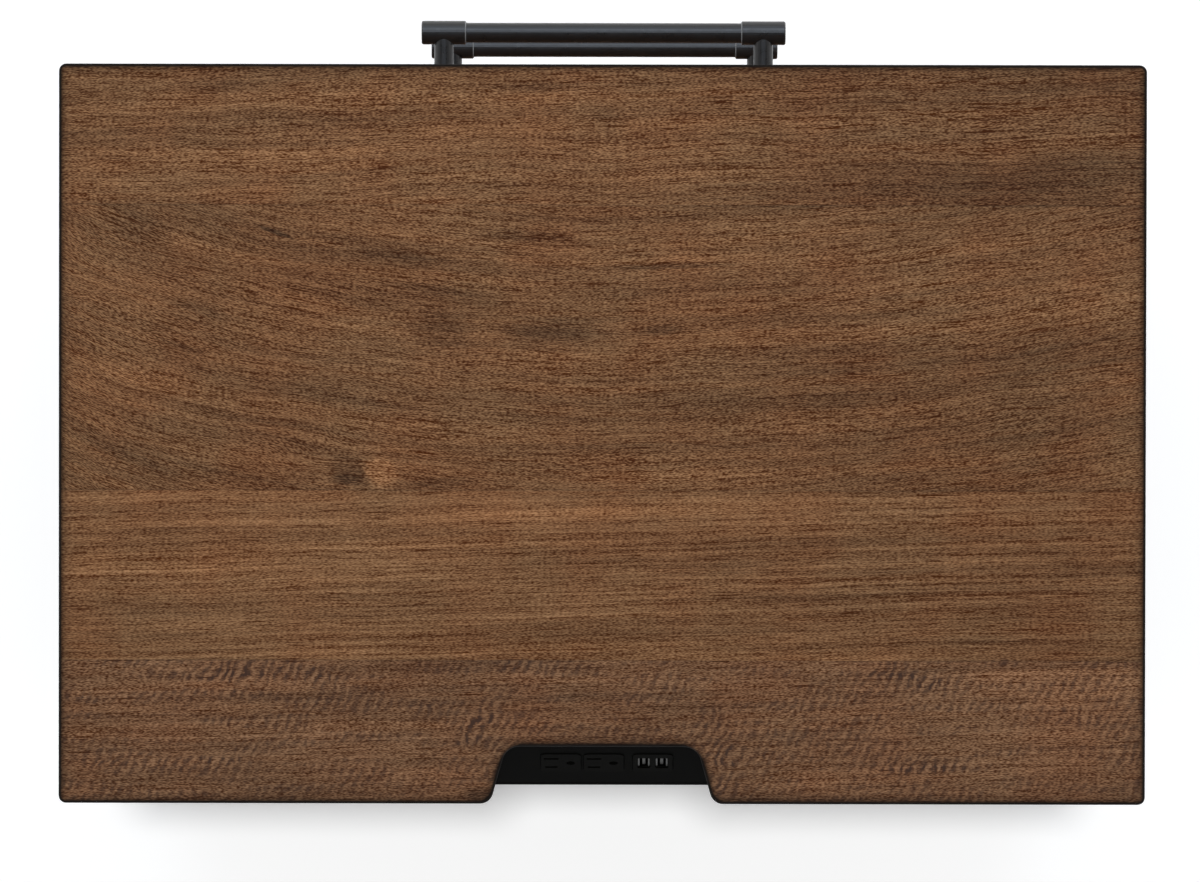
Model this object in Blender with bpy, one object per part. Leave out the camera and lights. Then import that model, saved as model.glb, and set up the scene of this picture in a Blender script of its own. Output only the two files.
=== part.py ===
"""Two-drawer nightstand with bar pulls and a slanted power unit behind a cable notch.

Metres, +Z up, front towards -Y. The origin is on the floor, under the middle of the
whole depth, pulls included. Each drawer rides on a pair of telescopic slides, and
both slides' middle members follow it at half its travel.
"""
import math

import bmesh
import bpy
from mathutils import Euler, Matrix, Vector

# Clearances
SEAT_GAP = 0.0003
RUN_GAP = 0.0004

# Top panel and its cable notch
TOP_WIDTH = 0.660
TOP_DEPTH = 0.449
TOP_THICK = 0.025
TOP_CORNER_RADIUS = 0.0045
TOP_EDGE_ROUND = 0.0025
NOTCH_DEPTH = 0.0348
NOTCH_FRONT_WIDTH = 0.116
NOTCH_BACK_WIDTH = 0.1355
NOTCH_INNER_RADIUS = 0.0105
NOTCH_OUTER_RADIUS = 0.008

# Case
SIDE_OVERHANG = 0.010
FRONT_OVERHANG = 0.006
BACK_OVERHANG = 0.006
PANEL_THICK = 0.018
BACK_THICK = 0.006
REBATE_DEPTH = 0.009
RAIL_DEPTH = 0.060
CLEAT_SIZE = 0.020
BOARD_EDGE = 0.0012

# Legs and glides
LEG_HEIGHT = 0.156
LEG_TOP_SIZE = 0.045
LEG_FOOT_SIZE = 0.030
LEG_INSET = 0.004
LEG_EDGE = 0.003
GLIDE_HEIGHT = 0.004
GLIDE_RADIUS = 0.011
GLIDE_CHAMFER = 0.001
GLIDE_PIN_RADIUS = 0.0015
GLIDE_PIN_LENGTH = 0.012

# Drawer fronts and boxes
FRONT_HEIGHT = 0.223
FRONT_THICK = 0.020
FRONT_TOP_GAP = 0.004
FRONT_MID_GAP = 0.003
FRONT_BOTTOM_GAP = 0.002
FRONT_SIDE_GAP = 0.0015
FRONT_BACK_GAP = 0.0015
FRONT_EDGE = 0.002
BOX_HEIGHT = 0.150
BOX_WALL = 0.012
BOX_LIFT = 0.030
BOX_BACK_ROOM = 0.028
BOTTOM_THICK = 0.005
GROOVE_LIFT = 0.010
GROOVE_DEPTH = 0.006

# Telescopic slides
SLIDE_LENGTH = 0.300
SLIDE_HEIGHT = 0.045
SLIDE_SPACE = 0.0127
SLIDE_WALL = 0.0012
SLIDE_LIP = 0.0042
SLIDE_NECK_HALF = 0.014
SLIDE_SETBACK = 0.003
SLIDE_HOLE_RADIUS = 0.0022
SLIDE_HOLE_INSET = 0.035

# Bar pulls
PULL_SPACING = 0.200
PULL_STANDOFF = 0.031
BAR_RADIUS = 0.0062
BAR_INSERT = 0.010
BAR_CHAMFER = 0.0006
SLEEVE_RADIUS = 0.0074
SLEEVE_LENGTH = 0.0278
SLEEVE_CHAMFER = 0.0007
POST_RADIUS = 0.0061
SCREW_RADIUS = 0.002
SCREW_HEAD_RADIUS = 0.004
SCREW_HEAD_HEIGHT = 0.0026
SCREW_GRIP = 0.010
SCREW_POCKET_SPARE = 0.002

# Power unit
FACE_TILT = math.radians(63.0)
FACE_TUCK = 0.003
UNIT_WIDTH = 0.150
UNIT_DEPTH = 0.030
UNIT_WALL = 0.003
LEDGE_WIDTH = 0.004
CHEEK_SINK = 0.0003
EAR_WIDTH = 0.014
EAR_THICK = 0.003
EAR_MARGIN = 0.008
FACEPLATE_THICK = 0.0025
FACEPLATE_EDGE = 0.0005
OUTLET_WIDTH = 0.0245
OUTLET_HEIGHT = 0.0265
OUTLET_RADIUS = 0.003
OUTLET_DEPTH = 0.016
OUTLET_PROUD = 0.0006
OUTLET_PITCH = 0.0264
OUTLET_PAIR_SHIFT = -0.012
BLADE_SPACING = 0.0127
BLADE_LENGTHS = (0.0075, 0.0090)
BLADE_WIDTH = 0.0024
BLADE_SHIFT = -0.006
EARTH_SHIFT = 0.0059
EARTH_RADIUS = 0.0027
CONTACT_DEPTH = 0.012
USB_WIDTH = 0.0145
USB_HEIGHT = 0.0072
USB_RADIUS = 0.001
USB_DEPTH = 0.012
USB_SINK = 0.0003
USB_WALL = 0.001
USB_FLOOR = 0.002
USB_PITCH = 0.0110
USB_INSERT_SHIFT = 0.0313
TONGUE_WIDTH = 0.0106
TONGUE_THICK = 0.0018
TONGUE_RECESS = 0.001

# Cord gland in the housing and grommet in the back panel
GLAND_SHIFT = 0.045
GLAND_DROP = 0.016
GLAND_RADIUS = 0.005
GLAND_BORE = 0.0032
GLAND_FLANGE_RADIUS = 0.007
GLAND_FLANGE_THICK = 0.003
GROMMET_SHIFT = 0.110
GROMMET_LIFT = 0.090
GROMMET_RADIUS = 0.0125
GROMMET_BORE = 0.0095
GROMMET_FLANGE_RADIUS = 0.016
GROMMET_FLANGE_THICK = 0.002

# Facets
ROUND_SEGMENTS = 32
SMALL_SEGMENTS = 16
CORNER_SEGMENTS = 6
EDGE_SEGMENTS = 2
WELD = 0.000001
SMOOTH_ANGLE = math.radians(32.0)

# Layout across the width
CASE_HALF = TOP_WIDTH / 2 - SIDE_OVERHANG
INNER_HALF = CASE_HALF - PANEL_THICK
BOX_HALF = INNER_HALF - SLIDE_SPACE

# Layout from front to back
PULL_REACH = PULL_STANDOFF + SLEEVE_RADIUS - FRONT_OVERHANG
TOP_BACK = (TOP_DEPTH + PULL_REACH) / 2
TOP_FRONT = TOP_BACK - TOP_DEPTH
FRONT_FACE = TOP_FRONT + FRONT_OVERHANG
FRONT_REAR = FRONT_FACE + FRONT_THICK
CASE_FRONT = FRONT_REAR + FRONT_BACK_GAP
CASE_BACK = TOP_BACK - BACK_OVERHANG
BACK_INNER = CASE_BACK - BACK_THICK

# Layout from the floor up
CASE_BOTTOM = GLIDE_HEIGHT + LEG_HEIGHT + 2 * SEAT_GAP
LOWER_FRONT = CASE_BOTTOM + FRONT_BOTTOM_GAP
UPPER_FRONT = LOWER_FRONT + FRONT_HEIGHT + FRONT_MID_GAP
CASE_TOP = UPPER_FRONT + FRONT_HEIGHT + FRONT_TOP_GAP
TOP_UNDERSIDE = CASE_TOP + SEAT_GAP
DRAWER_LEVELS = {"upper": UPPER_FRONT, "lower": LOWER_FRONT}
SIDES = {"left": -1, "right": 1}

# The slanted face of the power unit, from under the notch to the case's back
FACE_TOP_Y = TOP_BACK - NOTCH_DEPTH - FACE_TUCK
FACE_RUN = CASE_BACK - FACE_TOP_Y
FACE_LENGTH = FACE_RUN / math.cos(FACE_TILT)
FACE_DROP = FACE_RUN * math.tan(FACE_TILT)
FACE_NORMAL = Vector((0, math.sin(FACE_TILT), math.cos(FACE_TILT)))
FACE_TURN = Euler((FACE_TILT, 0, math.pi))
FACE_MIDDLE = Vector((0, FACE_TOP_Y + FACE_RUN / 2, CASE_TOP - FACE_DROP / 2))
UNIT_FRONT = FACE_TOP_Y - UNIT_DEPTH * FACE_NORMAL.y

# The drawer box reaches back to the power unit, less the room kept behind it
BOX_FRONT = FRONT_REAR + SEAT_GAP
BOX_BACK = UNIT_FRONT - BOX_BACK_ROOM
BOX_DEPTH = BOX_BACK - BOX_FRONT
SLIDE_FRONT = CASE_FRONT + SLIDE_SETBACK


def clear_scene():
    """Remove every object of the open scene."""
    for item in list(bpy.data.objects):
        bpy.data.objects.remove(item, do_unlink=True)


def finish(name, colour, roughness, metallic=0.0):
    """Make a material from a linear colour, a roughness and a metallic value."""
    material = bpy.data.materials.new(name)
    material.use_nodes = True
    shader = material.node_tree.nodes["Principled BSDF"]
    shader.inputs["Base Color"].default_value = (*colour, 1.0)
    shader.inputs["Roughness"].default_value = roughness
    shader.inputs["Metallic"].default_value = metallic
    return material


def add_piece(name, mesh, material, parent=None, location=(0, 0, 0), rotation=(0, 0, 0)):
    """Put a mesh into the scene as one named piece, shaded smooth between sharp edges."""
    mesh.shade_smooth()
    mesh.set_sharp_from_angle(angle=SMOOTH_ANGLE)
    mesh.materials.clear()
    mesh.materials.append(material)
    piece = bpy.data.objects.new(name, mesh)
    bpy.context.scene.collection.objects.link(piece)
    piece.parent = parent
    piece.location = location
    piece.rotation_euler = rotation
    return piece


def add_empty(name, location, rotation=(0, 0, 0)):
    """Add an empty that carries a moving or tilted group."""
    empty = bpy.data.objects.new(name, None)
    bpy.context.scene.collection.objects.link(empty)
    empty.location = location
    empty.rotation_euler = rotation
    return empty


def to_mesh(name, bm):
    """Turn a closed bmesh into a mesh whose faces point out."""
    bmesh.ops.recalc_face_normals(bm, faces=bm.faces)
    mesh = bpy.data.meshes.new(name)
    bm.to_mesh(mesh)
    bm.free()
    return mesh


def box(size, centre=(0, 0, 0), edge=0.0):
    """Make a rectangular block, with its edges rounded by edge."""
    bm = bmesh.new()
    bmesh.ops.create_cube(bm, size=1.0)
    bmesh.ops.scale(bm, vec=size, verts=bm.verts)
    if edge:
        bmesh.ops.bevel(bm, geom=bm.edges, offset=edge, segments=EDGE_SEGMENTS, profile=0.5, affect="EDGES")
    bmesh.ops.translate(bm, vec=centre, verts=bm.verts)
    return to_mesh("block", bm)


def prism(outline, low, high, rim=0.0):
    """Extrude an outline in XY from low to high, with both rims rounded by rim."""
    bm = bmesh.new()
    base = bm.faces.new([bm.verts.new((x, y, low)) for x, y in outline])
    grown = bmesh.ops.extrude_face_region(bm, geom=[base])["geom"]
    lifted = [item for item in grown if isinstance(item, bmesh.types.BMVert)]
    bmesh.ops.translate(bm, vec=(0, 0, high - low), verts=lifted)
    if rim:
        rims = [edge for edge in bm.edges if abs(edge.verts[0].co.z - edge.verts[1].co.z) < WELD]
        bmesh.ops.bevel(bm, geom=rims, offset=rim, segments=EDGE_SEGMENTS + 1, profile=0.5, affect="EDGES")
    return to_mesh("prism", bm)


def turned(profile, segments=ROUND_SEGMENTS, ring=False):
    """Turn (radius, height) points about Z: a solid from axis to axis, or a closed ring."""
    bm = bmesh.new()
    verts = [bm.verts.new((radius, 0, height)) for radius, height in profile]
    pairs = list(zip(verts, verts[1:]))
    if ring:
        pairs.append((verts[-1], verts[0]))
    edges = [bm.edges.new(pair) for pair in pairs]
    bmesh.ops.spin(bm, geom=verts + edges, axis=(0, 0, 1), cent=(0, 0, 0), angle=math.tau, steps=segments)
    bmesh.ops.remove_doubles(bm, verts=bm.verts, dist=WELD)
    return to_mesh("turned", bm)


def rod(radius, low, high, chamfer=0.0, segments=ROUND_SEGMENTS):
    """Make a round bar along Z with chamfered ends."""
    profile = [(0, high), (radius, high), (radius, low), (0, low)]
    if chamfer:
        upper = [(0, high), (radius - chamfer, high), (radius, high - chamfer)]
        lower = [(radius, low + chamfer), (radius - chamfer, low), (0, low)]
        profile = upper + lower
    return turned(profile, segments)


def moved(mesh, matrix):
    """Return the mesh after a rigid move."""
    mesh.transform(matrix)
    return mesh


def combine(base, operation, tools):
    """Return the mesh of base after an exact Boolean with each tool mesh in turn."""
    scene_objects = bpy.context.scene.collection.objects
    body = bpy.data.objects.new("body", base)
    scene_objects.link(body)
    helpers = []
    for tool in tools:
        helper = bpy.data.objects.new("tool", tool)
        scene_objects.link(helper)
        helpers.append(helper)
        step = body.modifiers.new("step", "BOOLEAN")
        step.operation = operation
        step.solver = "EXACT"
        step.object = helper
    graph = bpy.context.evaluated_depsgraph_get()
    result = bpy.data.meshes.new_from_object(body.evaluated_get(graph))
    for item in [body, *helpers]:
        bpy.data.objects.remove(item, do_unlink=True)
    return result


def rounded(corners, segments=CORNER_SEGMENTS):
    """Round the corners of an outline, given as (x, y, radius), with arcs."""
    points = []
    for index, (x, y, radius) in enumerate(corners):
        corner = Vector((x, y))
        if not radius:
            points.append(corner)
            continue
        before = (Vector(corners[index - 1][:2]) - corner).normalized()
        after = (Vector(corners[(index + 1) % len(corners)][:2]) - corner).normalized()
        half = before.angle(after) / 2
        centre = corner + (before + after).normalized() * radius / math.sin(half)
        first = corner + before * radius / math.tan(half) - centre
        last = corner + after * radius / math.tan(half) - centre
        sweep = first.angle_signed(last)
        for step in range(segments + 1):
            points.append(centre + Matrix.Rotation(-sweep * step / segments, 2) @ first)
    return [tuple(point) for point in points]


def rounded_rectangle(width, height, radius, centre=(0, 0)):
    """Outline of a rectangle with round corners."""
    corners = [(-1, -1), (1, -1), (1, 1), (-1, 1)]
    x, y = centre
    return rounded([(x + i * width / 2, y + j * height / 2, radius) for i, j in corners])


def thickened(path, thick):
    """Outline of a bent strip: a path of square bends, given its middle line and thickness."""
    points = [Vector(point) for point in path]
    sides = ([], [])
    for index, point in enumerate(points):
        ahead = points[min(index + 1, len(points) - 1)] - points[min(index, len(points) - 2)]
        behind = points[max(index, 1)] - points[max(index - 1, 0)]
        normals = {tuple(way.normalized().orthogonal()) for way in (ahead, behind)}
        shift = sum((Vector(normal) for normal in normals), Vector((0, 0))) * thick / 2
        sides[0].append(tuple(point + shift))
        sides[1].append(tuple(point - shift))
    return sides[0] + sides[1][::-1]


# Turns that lay a shape made along Z over onto another axis
ALONG_X = Matrix.Rotation(math.pi / 2, 4, "Y")
ALONG_Y = Matrix.Rotation(-math.pi / 2, 4, "X")
UPRIGHT_PLATE = Matrix.Rotation(math.pi / 2, 4, "X")


def top_panel(material):
    """Solid top: rounded corners, rounded rims and the cable notch in its back edge."""
    half = TOP_WIDTH / 2
    notch_front = TOP_BACK - NOTCH_DEPTH
    corners = [
        (-half, TOP_FRONT, TOP_CORNER_RADIUS),
        (half, TOP_FRONT, TOP_CORNER_RADIUS),
        (half, TOP_BACK, TOP_CORNER_RADIUS),
        (NOTCH_BACK_WIDTH / 2, TOP_BACK, NOTCH_OUTER_RADIUS),
        (NOTCH_FRONT_WIDTH / 2, notch_front, NOTCH_INNER_RADIUS),
        (-NOTCH_FRONT_WIDTH / 2, notch_front, NOTCH_INNER_RADIUS),
        (-NOTCH_BACK_WIDTH / 2, TOP_BACK, NOTCH_OUTER_RADIUS),
        (-half, TOP_BACK, TOP_CORNER_RADIUS),
    ]
    mesh = prism(rounded(corners), 0, TOP_THICK, TOP_EDGE_ROUND)
    add_piece("top_panel", mesh, material, location=(0, 0, TOP_UNDERSIDE))


def side_panels(material):
    """Two sides, rebated at the back for the back panel."""
    rebate_x = INNER_HALF + REBATE_DEPTH
    rebate_y = BACK_INNER - SEAT_GAP
    for name, sign in SIDES.items():
        outline = [
            (INNER_HALF, CASE_FRONT),
            (CASE_HALF, CASE_FRONT),
            (CASE_HALF, CASE_BACK),
            (rebate_x, CASE_BACK),
            (rebate_x, rebate_y),
            (INNER_HALF, rebate_y),
        ]
        mesh = prism([(sign * x, y) for x, y in outline], 0, CASE_TOP - CASE_BOTTOM, BOARD_EDGE)
        add_piece(f"side_panel_{name}", mesh, material, location=(0, 0, CASE_BOTTOM))


def back_panel(material):
    """Thin back in the rebates, cut away for the power unit and drilled for the grommet."""
    half = INNER_HALF + REBATE_DEPTH - SEAT_GAP
    cut_half = UNIT_WIDTH / 2 + SEAT_GAP
    height = CASE_TOP - CASE_BOTTOM
    sill = height - FACE_DROP - BACK_THICK / math.tan(FACE_TILT) - SEAT_GAP
    outline = [
        (-half, 0),
        (half, 0),
        (half, height),
        (cut_half, height),
        (cut_half, sill),
        (-cut_half, sill),
        (-cut_half, height),
        (-half, height),
    ]
    plate = moved(prism(outline, 0, BACK_THICK), UPRIGHT_PLATE)
    hole = rod(GROMMET_RADIUS + SEAT_GAP, -BACK_THICK, BACK_THICK, segments=ROUND_SEGMENTS)
    place = Matrix.Translation((GROMMET_SHIFT, -BACK_THICK / 2, GROMMET_LIFT))
    mesh = combine(plate, "DIFFERENCE", [moved(hole, place @ ALONG_Y)])
    add_piece("back_panel", mesh, material, location=(0, CASE_BACK, CASE_BOTTOM))


def case_boards(material):
    """Bottom panel, the two front rails and the two cleats that hold the top."""
    half = INNER_HALF - SEAT_GAP
    inner_back = BACK_INNER - SEAT_GAP
    depth = inner_back - CASE_FRONT
    bottom = box((2 * half, depth, PANEL_THICK), edge=BOARD_EDGE)
    bottom_place = (0, CASE_FRONT + depth / 2, CASE_BOTTOM + PANEL_THICK / 2)
    add_piece("bottom_panel", bottom, material, location=bottom_place)
    rail_levels = {"top_rail": CASE_TOP - PANEL_THICK / 2, "middle_rail": UPPER_FRONT - FRONT_MID_GAP / 2}
    for name, level in rail_levels.items():
        rail = box((2 * half, RAIL_DEPTH, PANEL_THICK), edge=BOARD_EDGE)
        add_piece(name, rail, material, location=(0, CASE_FRONT + RAIL_DEPTH / 2, level))
    cleat_front = CASE_FRONT + RAIL_DEPTH + SEAT_GAP
    cleat_length = inner_back - cleat_front
    for name, sign in SIDES.items():
        cleat = box((CLEAT_SIZE, cleat_length, CLEAT_SIZE), edge=BOARD_EDGE)
        place = (sign * (half - CLEAT_SIZE / 2), cleat_front + cleat_length / 2, CASE_TOP - CLEAT_SIZE / 2)
        add_piece(f"top_cleat_{name}", cleat, material, location=place)


def leg_mesh(sign_x, sign_y):
    """Square leg, upright on its two outer faces and tapered on the inner two, drilled for its glide."""
    bm = bmesh.new()
    bmesh.ops.create_cube(bm, size=1.0)
    bmesh.ops.scale(bm, vec=(LEG_TOP_SIZE, LEG_TOP_SIZE, LEG_HEIGHT), verts=bm.verts)
    shift = (LEG_TOP_SIZE - LEG_FOOT_SIZE) / 2
    taper = LEG_FOOT_SIZE / LEG_TOP_SIZE
    for vert in bm.verts:
        if vert.co.z < 0:
            vert.co.x = vert.co.x * taper + sign_x * shift
            vert.co.y = vert.co.y * taper + sign_y * shift
    bmesh.ops.bevel(bm, geom=bm.edges, offset=LEG_EDGE, segments=EDGE_SEGMENTS, profile=0.5, affect="EDGES")
    bmesh.ops.translate(bm, vec=(0, 0, LEG_HEIGHT / 2), verts=bm.verts)
    pocket = rod(GLIDE_PIN_RADIUS + SEAT_GAP, -SEAT_GAP, GLIDE_PIN_LENGTH + SEAT_GAP, segments=SMALL_SEGMENTS)
    pocket = moved(pocket, Matrix.Translation((sign_x * shift, sign_y * shift, 0)))
    return combine(to_mesh("leg", bm), "DIFFERENCE", [pocket])


def glide_mesh():
    """Domed-edge disc on a pin, which is driven into the foot of a leg."""
    profile = [
        (0, GLIDE_HEIGHT + GLIDE_PIN_LENGTH),
        (GLIDE_PIN_RADIUS, GLIDE_HEIGHT + GLIDE_PIN_LENGTH),
        (GLIDE_PIN_RADIUS, GLIDE_HEIGHT),
        (GLIDE_RADIUS, GLIDE_HEIGHT),
        (GLIDE_RADIUS, GLIDE_CHAMFER),
        (GLIDE_RADIUS - GLIDE_CHAMFER, 0),
        (0, 0),
    ]
    return turned(profile, SMALL_SEGMENTS)


def legs_and_glides(wood, plastic):
    """Four legs under the corners of the case, each on its glide."""
    glide = glide_mesh()
    leg_x = CASE_HALF - LEG_INSET - LEG_TOP_SIZE / 2
    middle = (CASE_FRONT + CASE_BACK) / 2
    reach = (CASE_BACK - CASE_FRONT) / 2 - LEG_INSET - LEG_TOP_SIZE / 2
    shift = (LEG_TOP_SIZE - LEG_FOOT_SIZE) / 2
    for depth_name, sign_y in {"front": -1, "back": 1}.items():
        for side_name, sign_x in SIDES.items():
            label = f"{depth_name}_{side_name}"
            x, y = sign_x * leg_x, middle + sign_y * reach
            leg_place = (x, y, GLIDE_HEIGHT + SEAT_GAP)
            add_piece(f"leg_{label}", leg_mesh(sign_x, sign_y), wood, location=leg_place)
            glide_place = (x + sign_x * shift, y + sign_y * shift, 0)
            add_piece(f"glide_{label}", glide, plastic, location=glide_place)


def slide_sections():
    """Middle lines of the three nested slide members, from the case side (u) inwards, v up.

    The case and middle members are channels with turned-in lips. The drawer member is a
    hat whose brim runs behind the middle member's lips.
    """
    step = SLIDE_WALL + RUN_GAP
    case_back = SEAT_GAP + SLIDE_WALL / 2
    hat_top = SLIDE_SPACE - SEAT_GAP - SLIDE_WALL / 2
    case_lip = hat_top - step
    case_flange = SLIDE_HEIGHT / 2 - SLIDE_WALL / 2
    hat_side = SLIDE_NECK_HALF - SLIDE_WALL / 2
    brim_tip = case_flange - 2 * step + SLIDE_WALL / 2
    sections = {
        "case": ((case_lip, case_flange), case_back, SLIDE_HEIGHT / 2 - SLIDE_LIP),
        "middle": ((case_lip - step, case_flange - step), case_back + step, SLIDE_NECK_HALF + RUN_GAP),
    }
    paths = {}
    for name, ((lip, flange), web, tip) in sections.items():
        upper = [(lip, tip), (lip, flange), (web, flange)]
        paths[name] = upper + [(u, -v) for u, v in reversed(upper)]
    brim = case_back + 2 * step
    upper = [(brim, brim_tip), (brim, hat_side), (hat_top, hat_side)]
    paths["drawer"] = upper + [(u, -v) for u, v in reversed(upper)]
    return paths


def slide_member(path, sign, screwed):
    """One slide member: its section thickened and drawn out along Y, for the left or right side.

    A member that is screwed on has three screw holes along the middle of its web.
    """
    outline = [(sign * (INNER_HALF - u), v) for u, v in thickened(path, SLIDE_WALL)]
    member = moved(prism(outline, -SLIDE_LENGTH, 0), UPRIGHT_PLATE)
    if not screwed:
        return member
    web = sign * (INNER_HALF - path[len(path) // 2][0])
    drills = []
    for y in (SLIDE_HOLE_INSET, SLIDE_LENGTH / 2, SLIDE_LENGTH - SLIDE_HOLE_INSET):
        drill = rod(SLIDE_HOLE_RADIUS, -SLIDE_WALL, SLIDE_WALL, segments=SMALL_SEGMENTS)
        drills.append(moved(drill, Matrix.Translation((web, y, 0)) @ ALONG_X))
    return combine(member, "DIFFERENCE", drills)


def slides(label, drawer, carrier, steel):
    """Both slides of one drawer, on the case, on the middle carrier and on the drawer."""
    parents = {"case": None, "middle": carrier, "drawer": drawer}
    level = drawer.location.z
    for member, path in slide_sections().items():
        parent = parents[member]
        place = (0, SLIDE_FRONT, level)
        if parent is not None:
            place = Vector(place) - parent.location
        for name, sign in SIDES.items():
            piece_name = f"{label}_slide_{member}_{name}"
            mesh = slide_member(path, sign, screwed=member != "middle")
            add_piece(piece_name, mesh, steel, parent, place)


def grooved_board(length):
    """Drawer box wall along X, grooved low on its inner face, which looks along +Y, for the bottom panel."""
    face = BOX_WALL / 2
    floor = face - GROOVE_DEPTH
    groove_top = GROOVE_LIFT + BOTTOM_THICK + 2 * SEAT_GAP
    outline = [
        (-face, 0),
        (face, 0),
        (face, GROOVE_LIFT),
        (floor, GROOVE_LIFT),
        (floor, groove_top),
        (face, groove_top),
        (face, BOX_HEIGHT),
        (-face, BOX_HEIGHT),
    ]
    turn = Matrix.Rotation(math.pi / 2, 4, "Z") @ Matrix.Rotation(math.pi / 2, 4, "X")
    return moved(prism(outline, -length / 2, length / 2), turn)


def drill_pair(mesh, thick, level):
    """Drill the two handle screw holes through a board that stands across the drawer."""
    drills = []
    for sign in SIDES.values():
        drill = rod(SCREW_RADIUS + SEAT_GAP, -thick, thick, segments=SMALL_SEGMENTS)
        place = Matrix.Translation((sign * PULL_SPACING / 2, 0, level))
        drills.append(moved(drill, place @ ALONG_Y))
    return combine(mesh, "DIFFERENCE", drills)


def drawer_box(label, joint, front_wood, box_wood):
    """Applied front and the five boards of the box, around the drawer's joint."""
    low = BOX_LIFT - FRONT_HEIGHT / 2
    base_z = DRAWER_LEVELS[label] + FRONT_HEIGHT / 2 - joint.location.z
    base = Vector((0, -joint.location.y, base_z))
    front = box((2 * (CASE_HALF - FRONT_SIDE_GAP), FRONT_THICK, FRONT_HEIGHT), edge=FRONT_EDGE)
    front = drill_pair(front, FRONT_THICK, 0)
    add_piece(f"{label}_drawer_front", front, front_wood, joint, base + Vector((0, FRONT_FACE + FRONT_THICK / 2, 0)))

    inner_width = 2 * (BOX_HALF - BOX_WALL - SEAT_GAP)
    box_front = drill_pair(grooved_board(inner_width), BOX_WALL, -low)
    place = base + Vector((0, BOX_FRONT + BOX_WALL / 2, low))
    add_piece(f"{label}_drawer_box_front", box_front, box_wood, joint, place)

    for name, sign in SIDES.items():
        wall = grooved_board(BOX_DEPTH)
        wall = moved(wall, Matrix.Rotation(sign * math.pi / 2, 4, "Z"))
        place = base + Vector((sign * (BOX_HALF - BOX_WALL / 2), BOX_FRONT + BOX_DEPTH / 2, low))
        add_piece(f"{label}_drawer_side_{name}", wall, box_wood, joint, place)

    back_low = GROOVE_LIFT + BOTTOM_THICK + 2 * SEAT_GAP
    back_height = BOX_HEIGHT - back_low
    back = box((inner_width, BOX_WALL, back_height), edge=BOARD_EDGE)
    place = base + Vector((0, BOX_BACK - BOX_WALL / 2, low + back_low + back_height / 2))
    add_piece(f"{label}_drawer_back", back, box_wood, joint, place)

    bottom_front = BOX_FRONT + BOX_WALL - GROOVE_DEPTH + SEAT_GAP
    bottom_size = (inner_width + 2 * GROOVE_DEPTH, BOX_BACK - bottom_front, BOTTOM_THICK)
    bottom_level = low + GROOVE_LIFT + SEAT_GAP + BOTTOM_THICK / 2
    place = base + Vector((0, (bottom_front + BOX_BACK) / 2, bottom_level))
    add_piece(f"{label}_drawer_bottom", box(bottom_size), box_wood, joint, place)


def tee_mesh():
    """Pull fitting: a sleeve along X with a post along +Y, bored for the bar and for the screw."""
    half = SLEEVE_LENGTH / 2
    sleeve = moved(rod(SLEEVE_RADIUS, -half, half, SLEEVE_CHAMFER), ALONG_X)
    foot = PULL_STANDOFF - SEAT_GAP
    post = moved(rod(POST_RADIUS, 0, foot, segments=ROUND_SEGMENTS), ALONG_Y)
    tee = combine(sleeve, "UNION", [post])
    bar_pocket = rod(BAR_RADIUS + SEAT_GAP, half - BAR_INSERT - SEAT_GAP, half + SLEEVE_CHAMFER)
    screw_pocket = rod(
        SCREW_RADIUS + SEAT_GAP,
        foot - SCREW_GRIP - SCREW_POCKET_SPARE,
        foot + SEAT_GAP,
        segments=SMALL_SEGMENTS,
    )
    return combine(tee, "DIFFERENCE", [moved(bar_pocket, ALONG_X), moved(screw_pocket, ALONG_Y)])


def screw_mesh():
    """Handle screw along +Z: a domed head under Z = 0 and a shank through both boards into the post."""
    shank = 3 * SEAT_GAP + BOX_WALL + FRONT_THICK + SCREW_GRIP
    shoulder = SCREW_HEAD_HEIGHT / 2
    profile = [
        (0, shank),
        (SCREW_RADIUS, shank),
        (SCREW_RADIUS, 0),
        (SCREW_HEAD_RADIUS, 0),
        (SCREW_HEAD_RADIUS, -shoulder),
        (SCREW_HEAD_RADIUS - shoulder, -SCREW_HEAD_HEIGHT),
        (0, -SCREW_HEAD_HEIGHT),
    ]
    return turned(profile, SMALL_SEGMENTS)


def pull(label, joint, tee, screw, black, steel):
    """Bar, two tee fittings and two screws on one drawer front, at the middle of its height."""
    level = DRAWER_LEVELS[label] + FRONT_HEIGHT / 2 - joint.location.z
    axis_y = FRONT_FACE - PULL_STANDOFF - joint.location.y
    bar_half = PULL_SPACING / 2 - SLEEVE_LENGTH / 2 + BAR_INSERT
    bar = moved(rod(BAR_RADIUS, -bar_half, bar_half, BAR_CHAMFER), ALONG_X)
    add_piece(f"{label}_pull_bar", bar, black, joint, (0, axis_y, level))
    head_y = BOX_FRONT + BOX_WALL + SEAT_GAP - joint.location.y
    for name, sign in SIDES.items():
        x = sign * PULL_SPACING / 2
        turn = (0, math.pi if sign > 0 else 0, 0)
        add_piece(f"{label}_pull_tee_{name}", tee, black, joint, (x, axis_y, level), turn)
        screw_turn = (math.pi / 2, 0, 0)
        add_piece(f"{label}_pull_screw_{name}", screw, steel, joint, (x, head_y, level), screw_turn)


def drawers(wood, box_wood, steel, black):
    """Both drawers with their slides and pulls, each group on an empty at its slides' line."""
    tee = tee_mesh()
    screw = screw_mesh()
    for label, front_bottom in DRAWER_LEVELS.items():
        slide_level = front_bottom + BOX_LIFT + BOX_HEIGHT / 2
        drawer = add_empty(f"{label}_drawer_joint", (0, SLIDE_FRONT, slide_level))
        carrier = add_empty(f"{label}_slide_joint", (0, SLIDE_FRONT, slide_level))
        drawer_box(label, drawer, wood, box_wood)
        slides(label, drawer, carrier, steel)
        pull(label, drawer, tee, screw, black, steel)


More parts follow.
